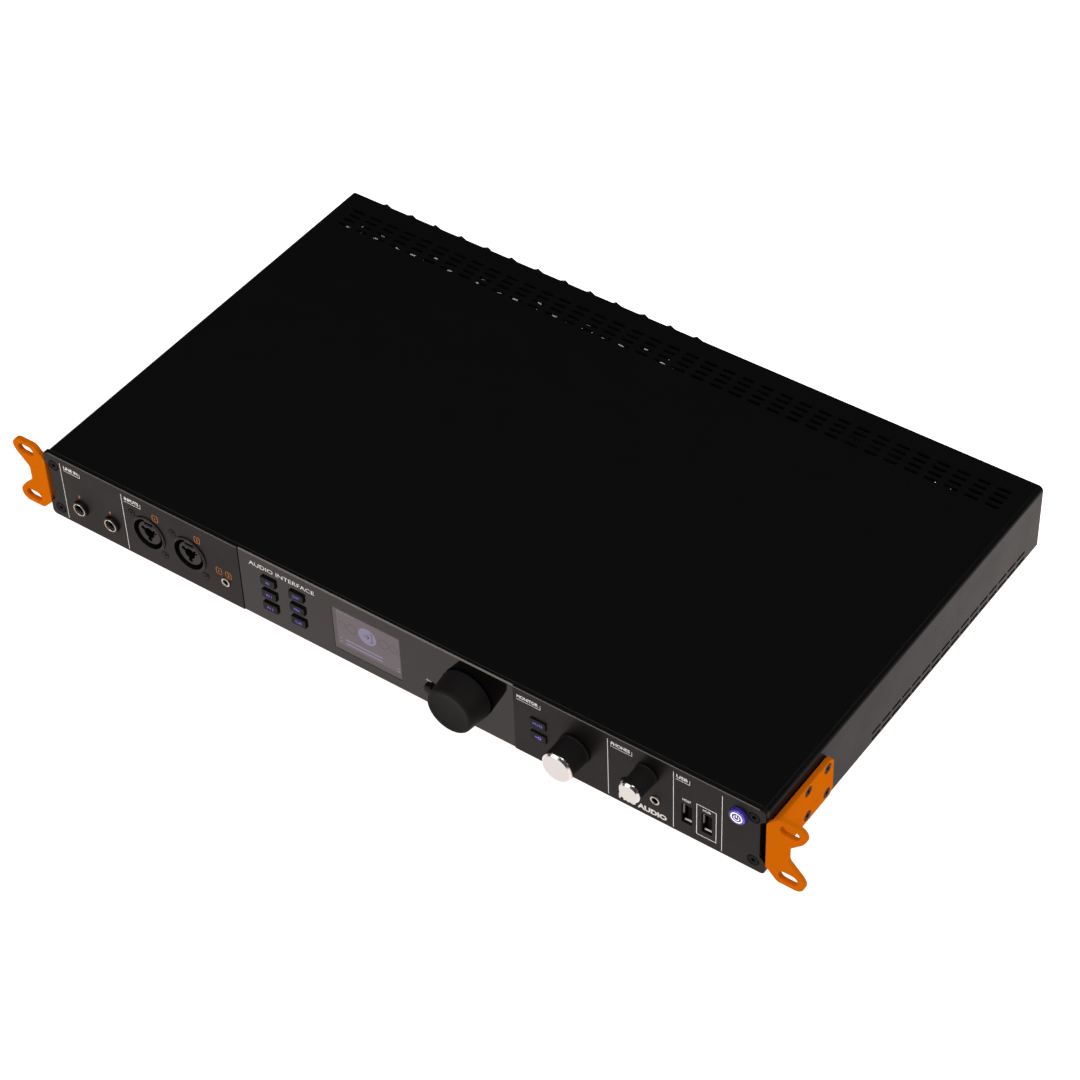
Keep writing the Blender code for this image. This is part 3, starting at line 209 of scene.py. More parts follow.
def edge_wear_highlight_mask(tree):
    """Where the surface turns sharply within a small radius: edges painted lighter, partly as rubbed wear
    and partly as painted highlight.
    """
    softened = tree.nodes.new("ShaderNodeBevel")
    softened.samples = 4
    softened.inputs["Radius"].default_value = EDGE_WEAR_HIGHLIGHT_RADIUS
    plain = tree.nodes.new("ShaderNodeNewGeometry")
    dot = tree.nodes.new("ShaderNodeVectorMath")
    dot.operation = "DOT_PRODUCT"
    tree.links.new(softened.outputs["Normal"], dot.inputs[0])
    tree.links.new(plain.outputs["Normal"], dot.inputs[1])
    mask = tree.nodes.new("ShaderNodeMapRange")
    mask.inputs["From Min"].default_value = EDGE_WEAR_HIGHLIGHT_TURN[0]
    mask.inputs["From Max"].default_value = EDGE_WEAR_HIGHLIGHT_TURN[1]
    mask.inputs["To Max"].default_value = EDGE_WEAR_HIGHLIGHT_AMOUNT
    tree.links.new(dot.outputs["Value"], mask.inputs["Value"])
    return mask.outputs["Result"]


FINISHES = {
    # The lighter edge colours given below are partly wear and partly painted highlight
    "case_black": finish("case_paint", (0.0052, 0.0051, 0.0053), 0.27, bump=0.05, specular=0.035,
                         edge_wear_and_highlight=(0.016, 0.016, 0.017)),
    "panel_black": finish("panel_coat", (0.0052, 0.0046, 0.0043), 0.42, bump=0.04, specular=0.115,
                          edge_wear_and_highlight=(0.03, 0.027, 0.025)),
    "fascia_grey": finish("fascia_gloss", (0.0030, 0.0028, 0.0028), 0.06, bump=0.01, spread=0.01,
                          specular=0.24, edge_wear_and_highlight=(0.10, 0.085, 0.080)),
    # Pale strip on the fascia chamfer: painted highlight
    "highlight_bright": finish("painted_highlight_bright", (0.12, 0.108, 0.10), 0.40, specular=0.3),
    # Pale strips along the panel's top edges: painted highlights
    "highlight_faint": finish("painted_highlight_faint", (0.035, 0.033, 0.032), 0.50, specular=0.2),
    "highlight_dull": finish("painted_highlight_thin", (0.12, 0.112, 0.108), 0.45, specular=0.2),
    "ear_orange": finish("ear_paint", (0.64, 0.144, 0.0023), 0.45, bump=0.05, specular=0.0,
                         edge_wear_and_highlight=(0.74, 0.18, 0.005)),
    # Near-black finish for recesses and hollows, darker than the black plastics: painted shade
    "recess_dark": finish("recess_shadow", (0.0018, 0.0017, 0.0017), 0.60, specular=0.03),
    "screw_black": finish("screw_oxide", (0.0080, 0.0080, 0.0082), 0.34, spread=0.08, specular=0.03),
    "button_black": finish("key_plastic", (0.0030, 0.0030, 0.0034), 0.42, bump=0.03, specular=0.09),
    "knob_rubber": finish("knob_rubber_soft", (0.0080, 0.0076, 0.0076), 0.60, bump=0.10,
                          grain=2200.0, specular=0.08),
    "cap_metal": finish("cap_satin", (0.64, 0.645, 0.64), 0.36, metallic=1.0, bump=0.03,
                        grain=3000.0, uneven=0.02),
    "cap_bright": finish("cap_polished", (0.70, 0.69, 0.69), 0.22, metallic=1.0, spread=0.02, bump=0.0),
    "shaft_steel": finish("shaft_metal", (0.45, 0.45, 0.46), 0.30, metallic=1.0),
    "socket_black": finish("socket_plastic", (0.0034, 0.0032, 0.0032), 0.34, bump=0.04, specular=0.20),
    "socket_metal": finish("nickel_plate", (0.55, 0.50, 0.45), 0.35, metallic=1.0, spread=0.06),
    "contact_gold": finish("contact_gold_plate", (0.75, 0.45, 0.16), 0.30, metallic=1.0),
    # Pale matte tin: its light diffuse colour is partly painted highlight for the glints of the metal
    "tin_glint_paint": finish("tin_painted_glint", (0.66, 0.60, 0.54), 0.45, specular=0.8),
    "power_lens": finish("power_lens_violet", (0.02, 0.014, 0.10), 0.30,
                         emission=(0.05, 0.03, 0.42), strength=0.3),
    "power_glow": finish("power_rim_violet", (0.10, 0.06, 0.50), 0.30,
                         emission=(0.10, 0.055, 1.0), strength=0.9),
    "screen_panel": finish("screen_film", (0.128, 0.110, 0.126), 0.22, bump=0.0, uneven=0.02,
                           specular=0.2),
    "screen_border": finish("screen_mask", (0.080, 0.072, 0.078), 0.25, bump=0.0, uneven=0.02,
                            specular=0.2),
    "board_green": finish("board_mask", (0.008, 0.045, 0.020), 0.40, bump=0.05),
    "print_white": finish("print_white_ink", (0.80, 0.80, 0.82), 0.60, specular=0.1),
    "print_orange": finish("print_orange_ink", (0.62, 0.20, 0.045), 0.60, specular=0.1),
    "legend_violet": finish("legend_lit", (0.05, 0.04, 0.20), 0.50,
                            emission=(0.16, 0.10, 0.62), strength=1.0),
    "legend_white": finish("legend_white_lit", (0.5, 0.5, 0.5), 0.50,
                           emission=(0.85, 0.85, 1.0), strength=0.9),
    "screen_violet": finish("screen_violet_lit", (0.16, 0.15, 0.20), 0.25, specular=0.2, uneven=0.02,
                            emission=(0.06, 0.06, 0.12), strength=1.0),
    "screen_dim": finish("screen_dim_lines", (0.080, 0.070, 0.075), 0.25, specular=0.2),
    "screen_light": finish("screen_light_marks", (0.29, 0.27, 0.29), 0.25, specular=0.2),
}


# ---------------------------------------------------------------- modelling helpers

def at(x, depth, z):
    """The scene's point for a place given in millimetres."""
    return Vector((x * MM, FACE + depth * MM, z * MM))


def place(axis, u, v, w):
    """A point from outline coordinates (u, v) and a position w along the extrusion axis."""
    if axis == "Y":
        return at(u, w, v)
    if axis == "X":
        return at(w, u, v)
    return at(u, v, w)


def add(name, bm):
    """Turn a mesh being built into an object of the scene."""
    bmesh.ops.recalc_face_normals(bm, faces=bm.faces)
    mesh = bpy.data.meshes.new(name)
    bm.to_mesh(mesh)
    bm.free()
    obj = bpy.data.objects.new(name, mesh)
    bpy.context.scene.collection.objects.link(obj)
    return obj


def prism(name, outlines, low, high, axis="Y"):
    """Solids with the given outlines, all in one mesh, between two positions on an axis."""
    bm = bmesh.new()
    for points in outlines:
        first = [bm.verts.new(place(axis, u, v, low)) for u, v in points]
        last = [bm.verts.new(place(axis, u, v, high)) for u, v in points]
        bm.faces.new(first)
        bm.faces.new(list(reversed(last)))
        for i in range(len(points)):
            bm.faces.new((first[i - 1], last[i - 1], last[i], first[i]))
    return add(name, bm)


def block(name, low, high):
    """A box between two opposite corners, each (x, depth, z)."""
    (x0, d0, z0), (x1, d1, z1) = low, high
    return prism(name, [[(x0, z0), (x1, z0), (x1, z1), (x0, z1)]], d0, d1)


def turned(name, centres, profile, segments, axis="Y"):
    """Solids of revolution about lines along an axis, one at each centre."""
    bm = bmesh.new()
    for cu, cv in centres:
        rings = []
        for radius, w in profile:
            if radius == 0.0:
                rings.append([bm.verts.new(place(axis, cu, cv, w))])
                continue
            angles = [2 * math.pi * i / segments for i in range(segments)]
            rings.append([bm.verts.new(place(axis, cu + radius * math.cos(a), cv + radius * math.sin(a), w))
                          for a in angles])
        for a, b in zip(rings, rings[1:]):
            if len(a) == len(b) == 1:
                continue
            for i in range(segments):
                if len(a) == 1:
                    bm.faces.new((a[0], b[i - 1], b[i]))
                elif len(b) == 1:
                    bm.faces.new((a[i - 1], a[i], b[0]))
                else:
                    bm.faces.new((a[i - 1], b[i - 1], b[i], a[i]))
        if len(rings[0]) > 1:
            for i in range(segments):
                bm.faces.new((rings[-1][i - 1], rings[0][i - 1], rings[0][i], rings[-1][i]))
    return add(name, bm)


def arc(cu, cv, radius, start, end, steps):
    """Points along an arc about (cu, cv), with its angles in degrees."""
    angles = [math.radians(start + (end - start) * i / steps) for i in range(steps + 1)]
    return [(cu + radius * math.cos(a), cv + radius * math.sin(a)) for a in angles]


def circle(cu, cv, radius, steps=48):
    return arc(cu, cv, radius, 0, 360, steps)[:-1]


def rounded(cu, cv, width, height, radius, steps=6):
    """Outline of a rectangle with rounded corners."""
    x, z = width / 2 - radius, height / 2 - radius
    return (arc(cu + x, cv - z, radius, -90, 0, steps) + arc(cu + x, cv + z, radius, 0, 90, steps)
            + arc(cu - x, cv + z, radius, 90, 180, steps) + arc(cu - x, cv - z, radius, 180, 270, steps))


def capsule(cu, cv, length, width, steps=6):
    """Outline of a slot with round ends, its length along the first axis."""
    r, reach = width / 2, (length - width) / 2
    return arc(cu + reach, cv, r, -90, 90, steps) + arc(cu - reach, cv, r, 90, 270, steps)


def bake(obj):
    """Replace the mesh by its evaluated copy."""
    bpy.context.view_layer.update()
    graph = bpy.context.evaluated_depsgraph_get()
    mesh = bpy.data.meshes.new_from_object(obj.evaluated_get(graph))
    obj.modifiers.clear()
    obj.data = mesh
    return obj


def combine(obj, cutters, operation="DIFFERENCE"):
    """Cut the given objects out of a mesh, or join them to it, and remove them."""
    for cutter in cutters:
        step = obj.modifiers.new("step", "BOOLEAN")
        step.operation = operation
        step.object = cutter
        step.solver = "EXACT"
    bake(obj)
    for cutter in cutters:
        bpy.data.objects.remove(cutter, do_unlink=True)
    return obj


def soften(obj, width, segments=2, angle=35):
    """Bevel the edges that are sharper than an angle."""
    step = obj.modifiers.new("soft_edges", "BEVEL")
    step.width = width * MM
    step.segments = segments
    step.limit_method = "ANGLE"
    step.angle_limit = math.radians(angle)
    step.use_clamp_overlap = True
    step.harden_normals = False
    return bake(obj)


def flatten(obj):
    """Keep large flat faces shading flat beside their softened edges."""
    step = obj.modifiers.new("flat_faces", "WEIGHTED_NORMAL")
    step.keep_sharp = True
    step.weight = 90
    bake(obj)


def dress(obj, slot, body="case", finish_name=None, stands_for=(), angle=32):
    """Give a piece its finish, chosen by finish name or else by slot, the body it rides on and the nodes it
    replaces.
    """
    obj.data.materials.clear()
    obj.data.materials.append(FINISHES[finish_name or slot])
    obj.data.shade_smooth()
    obj.data.set_sharp_from_angle(angle=math.radians(angle))
    flatten(obj)
    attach(obj, body)
    if stands_for:
        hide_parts(*stands_for)
    return obj


def lettering(name, text, x, z, height, finish_name, width=None, depth=PANEL_PRINT_DEPTH, body="case",
              slot="panel_black", weight=0.0, align="left"):
    """Flat lettering facing forward: x is its left edge or middle, z the middle of its height."""
    curve = bpy.data.curves.new(name, "FONT")
    curve.body = text
    curve.offset = weight
    curve.extrude = 0.01
    curve.resolution_u = 3
    source = bpy.data.objects.new(name + "_source", curve)
    bpy.context.scene.collection.objects.link(source)
    bpy.context.view_layer.update()
    mesh = bpy.data.meshes.new_from_object(source.evaluated_get(bpy.context.evaluated_depsgraph_get()))
    bpy.data.objects.remove(source, do_unlink=True)
    xs = [v.co.x for v in mesh.vertices]
    ys = [v.co.y for v in mesh.vertices]
    scale_y = height / (max(ys) - min(ys))
    scale_x = width / (max(xs) - min(xs)) if width else scale_y
    total = scale_x * (max(xs) - min(xs))
    left = x - total / 2 if align == "middle" else x
    for v in mesh.vertices:
        u = left + (v.co.x - min(xs)) * scale_x
        w = z - height / 2 + (v.co.y - min(ys)) * scale_y
        v.co = at(u, depth - v.co.z * 2.0, w)
    obj = bpy.data.objects.new(name, mesh)
    bpy.context.scene.collection.objects.link(obj)
    return dress(obj, slot, body, finish_name)


def strokes(name, paths, width, finish_name, depth=PANEL_PRINT_DEPTH, body="case", slot="panel_black",
            closed=False):
    """Flat printed lines of even width along the given paths, mitred at their corners."""
    bm = bmesh.new()
    for path in paths:
        count = len(path)
        rows = []
        for i, (x, z) in enumerate(path):
            before = path[i - 1] if i or closed else path[i]
            after = path[(i + 1) % count] if i < count - 1 or closed else path[i]
            into = Vector((x - before[0], z - before[1]))
            out = Vector((after[0] - x, after[1] - z))
            into = into.normalized() if into.length else out.normalized()
            out = out.normalized() if out.length else into
            side = Vector((-into.y - out.y, into.x + out.x))
            side = side.normalized()
            mitre = max(0.4, side.dot(Vector((-into.y, into.x))))
            side = side * (width / 2) / mitre
            edges = ((x - side.x, z - side.y), (x + side.x, z + side.y))
            faces = (depth, depth + PRINT_THICKNESS)
            rows.append([bm.verts.new(at(u, w, v)) for w in faces for u, v in edges])
        pairs = list(zip(rows, rows[1:])) + ([(rows[-1], rows[0])] if closed else [])
        for a, b in pairs:
            for i, j in ((0, 1), (1, 3), (3, 2), (2, 0)):
                bm.faces.new((a[i], a[j], b[j], b[i]))
        for end in () if closed else (rows[0], rows[-1]):
            bm.faces.new((end[0], end[1], end[3], end[2]))
    return dress(add(name, bm), slot, body, finish_name)


def add_bar(bm, size, centre, turn=0.0):
    """Add a small bar to a mesh being built, turned about Z by an angle in radians."""
    made = bmesh.ops.create_cube(bm, size=1.0)
    bmesh.ops.scale(bm, vec=[extent * MM for extent in size], verts=made["verts"])
    bmesh.ops.transform(bm, matrix=Matrix.Rotation(turn, 4, "Z"), verts=made["verts"])
    bmesh.ops.translate(bm, vec=at(*centre), verts=made["verts"])


# ---------------------------------------------------------------- case

def top_cover():
    """Folded cover with its vent slots."""
    left, right, height, inner = -HALF + BEND, HALF - BEND, TOP - BEND, BEND - SHEET
    outline = [(-HALF, COVER_BOTTOM)] + arc(left, height, BEND, 180, 90, 12)
    outline += arc(right, height, BEND, 90, 0, 12) + [(HALF, COVER_BOTTOM), (HALF - SHEET, COVER_BOTTOM)]
    outline += arc(right, height, inner, 0, 90, 12)
    outline += arc(left, height, inner, 90, 180, 12) + [(-HALF + SHEET, COVER_BOTTOM)]
    cover = prism("cover_sheet", [outline], COVER_FRONT, DEPTH)
    soften(cover, 0.22, 2, 60)
    columns = [(i - (TOP_VENTS[0] - 1) / 2) * TOP_VENT_PITCH[0] for i in range(TOP_VENTS[0])]
    rows = [TOP_VENT_DEPTH + i * TOP_VENT_PITCH[1] for i in range(TOP_VENTS[1])]
    slots = [capsule(x, d, *TOP_VENT_SLOT) for x in columns for d in rows]
    cuts = [prism("top_slots", slots, TOP - 5, TOP + 3, "Z")]
    depths = [SIDE_VENT_DEPTH + i * SIDE_VENT_PITCH for i in range(SIDE_VENTS)]
    slots = [capsule(d, z, *SIDE_VENT_SLOT) for d in depths for z in SIDE_VENT_ROWS]
    for side in (-1, 1):
        low, high = sorted((side * (HALF - 4), side * (HALF + 4)))
        cuts.append(prism(f"side_slots_{side}", slots, low, high, "X"))
    combine(cover, cuts)
    dress(cover, "case_black", stands_for=["top_cover"])


def key_hole(x, z):
    gap = 0.15
    return rounded(x, z, KEY_SIZE[0] + 2 * gap, KEY_SIZE[1] + 2 * gap, 0.65)


def panel_outline():
    """Rounded corners, and a sloped notch in each end."""
    centre = PANEL_HALF - PANEL_CORNER
    right = arc(centre, PANEL_CORNER, PANEL_CORNER, -90, 0, 6)
    right += [(PANEL_HALF, MID - 13.4), (NOTCH_HALF, MID - 10.8)]
    right += [(NOTCH_HALF, MID + 12.6), (PANEL_HALF, MID + 15.2)]
    right += arc(centre, PANEL_TOP - PANEL_CORNER, PANEL_CORNER, 0, 90, 6)
    return right + [(-x, z) for x, z in reversed(right)]


def panel_holes():
    holes = [circle(x, z, 11.1, 64) for x, z in COMBOS]
    holes += [circle(x, z, 4.9) for x, z in (*INSTRUMENT_JACKS, PHONES_JACK)]
    holes += [circle(x, z, 2.9, 32) for x, z in (LINE_MINIJACK, PHONES_MINIJACK)]
    holes += [circle(x, z, 4.8, 32) for x, z in (MONITOR_KNOB, PHONES_KNOB)]
    holes += [circle(*POWER, 4.9), *[key_hole(x, z) for x, z in MONITOR_KEYS]]
    holes += [rounded(x, z, 6.0, 13.0, 0.5, 3) for x, z in USB_PORTS]
    return holes + [circle(x, z, 1.8, 24) for x, z in PANEL_SCREWS]


def front_panel():
    panel = prism("panel_plate", [panel_outline()], 0.0, PANEL_THICKNESS)
    soften(panel, 0.3, 2, 30)
    pocket = block("pocket", (FASCIA[0] - 0.3, -1, -1), (FASCIA[1] + 0.3, 2.2, PANEL_TOP + 1))
    web = block("web", (-84, 0, 5), (72, 6, 38.5))
    through = prism("panel_holes", panel_holes(), -3, 6)
    countersink = [(0.0, -0.3), (3.75, -0.3), (1.75, 1.9), (0.0, 1.9)]
    sinks = turned("sinks", PANEL_SCREWS, countersink, 40)
    combine(panel, [pocket, web, through, sinks])
    dress(panel, "panel_black", stands_for=["front_panel"])


def panel_highlight_strips():
    """Thin pale strips along the panel's upper edges: painted highlights."""
    top = PANEL_TOP
    front = [(-0.03, top - 0.32), (0.0, top - 0.32), (0.32, top), (0.32, top + 0.03), (0.06, top - 0.06)]
    for name, low, high in (("left", -EDGE_REACH, FASCIA[0] - 0.4), ("right", FASCIA[1] + 0.4, EDGE_REACH)):
        strip = prism(f"panel_edge_{name}", [front], low, high, "X")
        dress(strip, "panel_black", finish_name="highlight_dull")
    # Faint strip along the rear top edge: painted highlight
    back = [(2.66, top - 0.1), (2.66, top + 0.02), (2.9, top + 0.02), (2.9, top - 0.1)]
    strip = prism("panel_back_highlight", [back], -EDGE_REACH, EDGE_REACH, "X")
    dress(strip, "panel_black", finish_name="highlight_faint")


def fascia():
    """Glossy centre section, with a pale strip on the chamfer along its top as painted highlight."""
    top, face = PANEL_TOP, FASCIA_FACE
    section = [(1.9, 0.0), (1.9, top), (1.1, top), (face, top - 0.7), (face, 0.35), (0.75, 0.0)]
    plate = prism("fascia_plate", [section], *FASCIA, "X")
    soften(plate, 0.12, 2, 30)
    x0, x1, z0, z1 = SCREEN
    holes = [key_hole(x, z) for x, z in FUNCTION_KEYS]
    holes += [circle(*BACK, 3.3), circle(*MAIN_KNOB, 4.8)]
    holes.append([(x0, z0), (x1, z0), (x1, z1), (x0, z1)])
    combine(plate, [prism("fascia_holes", holes, -3, 6)])
    dress(plate, "fascia_grey", stands_for=["display_fascia"])
    # Pale strip on the chamfer: painted highlight
    chamfer = [(face, top - 0.64), (face + 0.03, top - 0.67), (1.1, top), (1.07, top + 0.03)]
    line = prism("fascia_chamfer_highlight", [chamfer], FASCIA[0] + 0.15, FASCIA[1] - 0.15, "X")
    dress(line, "fascia_grey", finish_name="highlight_bright")


def screws():
    """Countersunk screws with hexagon sockets: four in the panel and four in each ear."""
    bolt = [(0.0, 0.1), (2.65, 0.1), (2.9, 0.3), (2.9, 0.38), (1.5, 1.7), (1.5, 8.1), (0.0, 8.1)]
    socket, socket_end = 1.2, 1.5
    for number, (x, z) in enumerate(PANEL_SCREWS, start=1):
        obj = turned(f"panel_bolt_{number}", [(x, z)], bolt, 40)
        combine(obj, [prism("socket", [arc(x, z, socket, 0, 300, 5)], -1, socket_end)])
        dress(obj, "screw_black", stands_for=[f"panel_screw_{number}"])
    for side, label in ((1, "right"), (-1, "left")):
        profile = [(radius, side * (EAR_OUTER - w)) for radius, w in bolt]
        low, high = sorted((side * (EAR_OUTER + 1), side * (EAR_OUTER - socket_end)))
        for number, (d, z) in enumerate(EAR_SCREWS, start=1):
            obj = turned(f"ear_bolt_{label}_{number}", [(d, z)], profile, 40, "X")
            combine(obj, [prism("socket", [arc(d, z, socket, 15, 315, 5)], low, high, "X")])
            dress(obj, "screw_black", stands_for=[f"ear_screw_{label}_{number}"])


def ear_outline():
    """Front outline of the right ear: two rounded lobes with a gap between them."""
    low = EAR_MID - EAR_HALF_HEIGHT
    lower = [(EAR_INNER, EAR_MID - 14.8)] + arc(228.3, low + 4, 4, 218, 270, 6)
    lower += arc(EAR_TIP - 5.2, low + 5.2, 5.2, 270, 380, 14)
    lower += [(239.6, EAR_MID - 12.3), (232.6, EAR_MID - 5.3)]
    lower += arc(233.4, EAR_MID - 3.4, 1.5, 215, 180, 3)
    return lower + [(x, 2 * EAR_MID - z) for x, z in reversed(lower)]


def rack_ears():
    """Each ear is a slotted flange and a side plate with four countersinks."""
    reach, corner, half = 54.5, 4, 12.5
    low, high = EAR_MID - half, EAR_MID + half
    side_plate = [(0.3, low)] + arc(reach - corner, low + corner, corner, -90, 0, 8)
    side_plate += arc(reach - corner, high - corner, corner, 0, 90, 8) + [(0.3, high)]
    for side, label in ((1, "right"), (-1, "left")):
        outline = [(side * x, z) for x, z in ear_outline()]
        ear = prism(f"ear_{label}", [outline], 0.0, EAR_THICKNESS)
        heights = (EAR_MID - EAR_SLOT_HALF_PITCH, EAR_MID + EAR_SLOT_HALF_PITCH)
        slots = [capsule(side * EAR_SLOT_X, z, *EAR_SLOT, 12) for z in heights]
        combine(ear, [prism("slots", slots, -3, 6)])
        inner, outer = sorted((side * EAR_INNER, side * EAR_OUTER))
        combine(ear, [prism("plate", [side_plate], inner, outer, "X")], "UNION")
        soften(ear, 0.35, 3, 40)
        countersink = [(0.0, 223.4), (3.35, 223.4), (1.75, 221.4), (1.75, 219.0), (0.0, 219.0)]
        sinks = turned("sinks", EAR_SCREWS, [(radius, side * w) for radius, w in countersink], 40, "X")
        combine(ear, [sinks])
        dress(ear, "ear_orange", stands_for=[f"rack_ear_{label}"])


# ---------------------------------------------------------------- controls

def keys():
    """Six function keys and two monitor keys, the last with an icon in place of a word."""
    words = ("IN", "IN 1", "IN 2", "OUT", "MIX", "CUE")
    for number, ((x, z), word) in enumerate(zip(FUNCTION_KEYS, words), start=1):
        key_cap(f"function_button_{number}", x, z, word, 2.5)
    key_cap("monitor_button_1", *MONITOR_KEYS[0], "MUTE", 3.6)
    key_cap("monitor_button_2", *MONITOR_KEYS[1], None, 3.6)
    x, z = MONITOR_KEYS[1]
    options = {"depth": -KEY_PROUD - 0.04, "body": "monitor_button_2", "slot": "button_black"}
    strokes("key_icon_ring", [circle(x + 1.0, z, 0.85, 20)], 0.4, "legend_violet", closed=True, **options)
    wave = [(x - 1.6, z + 0.4), (x - 0.9, z - 0.3), (x - 0.3, z + 0.2)]
    strokes("key_icon_wave", [wave], 0.45, "legend_violet", **options)


def key_cap(body, x, z, word, rear):
    cap = prism(body + "_cap", [rounded(x, z, *KEY_SIZE, 0.5)], -KEY_PROUD, rear)
    soften(cap, 0.15, 3, 50)
    dress(cap, "button_black", body, stands_for=[body])
    if word:
        lettering(body + "_legend", word, x + 0.2, z - 0.1, 1.55, "legend_violet",
                  depth=-KEY_PROUD - 0.03, body=body, slot="button_black", align="middle")


def back_button():
    """Small round button, with a return arrow printed above it."""
    profile = [(0.0, -1.7), (2.3, -1.7), (2.8, -1.5), (3.0, -1.0), (3.0, 2.5), (0.0, 2.5)]
    cap = turned("back_cap", [BACK], profile, 48)
    dress(cap, "button_black", "back_button", stands_for=["back_button"])
    x, z = BACK[0] - 0.5, BACK[1] + 5.2
    shaft = [(x - 1.4, z), (x + 0.6, z), (x + 1.3, z - 0.5)]
    point = [(x - 0.8, z + 0.6), (x - 1.4, z), (x - 0.8, z - 0.6)]
    strokes("back_icon", [shaft, point], 0.3, "print_white", FASCIA_PRINT_DEPTH)


def power_button():
    """Lit round button with a ring and a power symbol on its face."""
    profile = [(0.0, -2.0), (3.9, -2.0), (4.3, -1.85), (4.5, -1.5), (4.6, -1.0), (4.6, 3.6), (0.0, 3.6)]
    cap = turned("power_cap", [POWER], profile, 64)
    dress(cap, "power_lens", "power_button", stands_for=["power_button"])
    x, z = POWER
    lens = {"body": "power_button", "slot": "power_lens"}
    strokes("power_rim", [arc(x, z, 4.15, -20, 110, 32)], 0.4, "power_glow", -1.98, **lens)
    front = -2.05
    strokes("power_ring", [circle(x, z, 2.9, 48)], 0.7, "legend_white", front, closed=True, **lens)
    strokes("power_arc", [arc(x, z - 0.1, 1.4, 130, 410, 24)], 0.45, "legend_white", front, **lens)
    strokes("power_bar", [[(x, z + 0.1), (x, z + 1.9)]], 0.45, "legend_white", front, **lens)


def main_knob():
    """Rubber grip with a shallow dish in its face, a rounded lip and a slight taper."""
    face = KNOB_FACE - 0.4
    dish = [(0.0, face + 0.75), (4.0, face + 0.70), (8.0, face + 0.50), (10.2, face + 0.28),
            (11.0, face + 0.05)]
    lip = [(11.5, face), (12.3, face + 0.06), (12.8, face + 0.30), (13.1, face + 0.75), (13.25, face + 1.5)]
    skirt = [(14.6, -1.4), (14.75, -1.0), (14.75, -0.8), (14.6, -0.7)]
    hub = [(3.3, -0.9), (3.3, -9.3), (0.0, -9.3)]
    knob = turned("main_grip", [MAIN_KNOB], dish + lip + skirt + hub, 128)
    dress(knob, "knob_rubber", "main_control", stands_for=["main_knob"])


def level_knob(prefix, centre, radius, skirt):
    """Rubber sleeve with a satin metal cap and its bright bevelled rim."""
    body = prefix + "_control"
    face = KNOB_FACE - 1.1
    front = face + 1.8
    profile = [(0.0, front), (radius - 0.2, front), (radius, front + 0.2), (radius, -1.9)]
    profile += [(skirt - 0.15, -1.6), (skirt, -1.2), (skirt, -0.9), (skirt - 0.1, -0.8)]
    profile += [(3.3, -0.9), (3.3, -9.3), (0.0, -9.3)]
    sleeve = turned(prefix + "_sleeve", [centre], profile, 96)
    dress(sleeve, "knob_rubber", body, stands_for=[prefix + "_knob"])
    inner, rear = radius - 0.95, face + 1.7
    rim = [(inner, face + 0.02), (radius - 0.85, face), (radius - 0.1, face + 0.85), (radius, face + 1.0),
           (radius, rear), (inner, rear)]
    dress(turned(prefix + "_cap_rim", [centre], rim, 96), "cap_metal", body, "cap_bright",
          stands_for=[prefix + "_cap"], angle=20)
    disc = [(0.0, face), (inner, face), (inner, rear), (0.0, rear)]
    dress(turned(prefix + "_cap_face", [centre], disc, 96), "cap_metal", body)


# ---------------------------------------------------------------- front sockets

def combo(number, x, z):
    """Combined socket: a ring, a core with a bore and three pin holes, a latch, and two screws."""
    name = f"combo_{number}"
    front = [(9.35, 0.6), (9.45, -0.5), (9.6, -0.6), (10.1, -0.6), (10.15, -0.35)]
    front += [(10.35, -0.35), (10.4, -0.6), (10.75, -0.6), (10.9, -0.45)]
    shell = turned(name + "_shell", [(x, z)], front + [(10.9, 14.0), (9.35, 14.0)], 96)
    dress(shell, "socket_black", stands_for=[f"combo_socket_{number}"])
    profile = [(0.0, 0.5), (7.0, 0.5), (7.35, 0.8), (7.4, 14.0), (0.0, 14.0)]
    core = turned(name + "_core", [(x, z)], profile, 96)
    bore = prism("bore", [circle(x, z, 3.3, 40)], -1, 12)
    spots = [(math.cos(math.radians(a)), math.sin(math.radians(a))) for a in (-90, 28, 152)]
    pins = prism("pins", [circle(x + 4.3 * u, z + 4.3 * v, 1.35, 24) for u, v in spots], -1, 11)
    slot = [(x - 2.7, z + 5.6), (x + 2.7, z + 5.6), (x + 2.7, z + 8), (x - 2.7, z + 8)]
    combine(core, [bore, pins, prism("latch_slot", [slot], -1, 9)])
    soften(core, 0.12, 1, 50)
    dress(core, "socket_black")
    floor = [(0.0, 13.8), (10.9, 13.8), (10.9, 15.0), (0.0, 15.0)]
    dress(turned(name + "_floor", [(x, z)], floor, 48), "socket_black")
    tab = prism(name + "_latch", [rounded(x, z + 8.0, 5.0, 1.7, 0.4, 3)], 0.3, 8)
    dress(soften(tab, 0.2, 2), "socket_black")
    lip = prism(name + "_lip", [rounded(x, z + 5.0, 5.6, 0.35, 0.15, 2)], 0.4, 2)
    dress(lip, "screw_black")
    blades = [rounded(x + 2.6, z - 0.6, 0.5, 1.6, 0.1, 2), rounded(x + 3.9, z - 1.4, 0.5, 1.4, 0.1, 2)]
    dress(prism(name + "_contacts", blades, 2.2, 9), "socket_metal", finish_name="contact_gold")
    for index, (dx, dz) in enumerate(((-9.9, 9.9), (9.9, -9.9)), start=1):
        small_screw(f"{name}_screw_{index}", x + dx, z + dz)


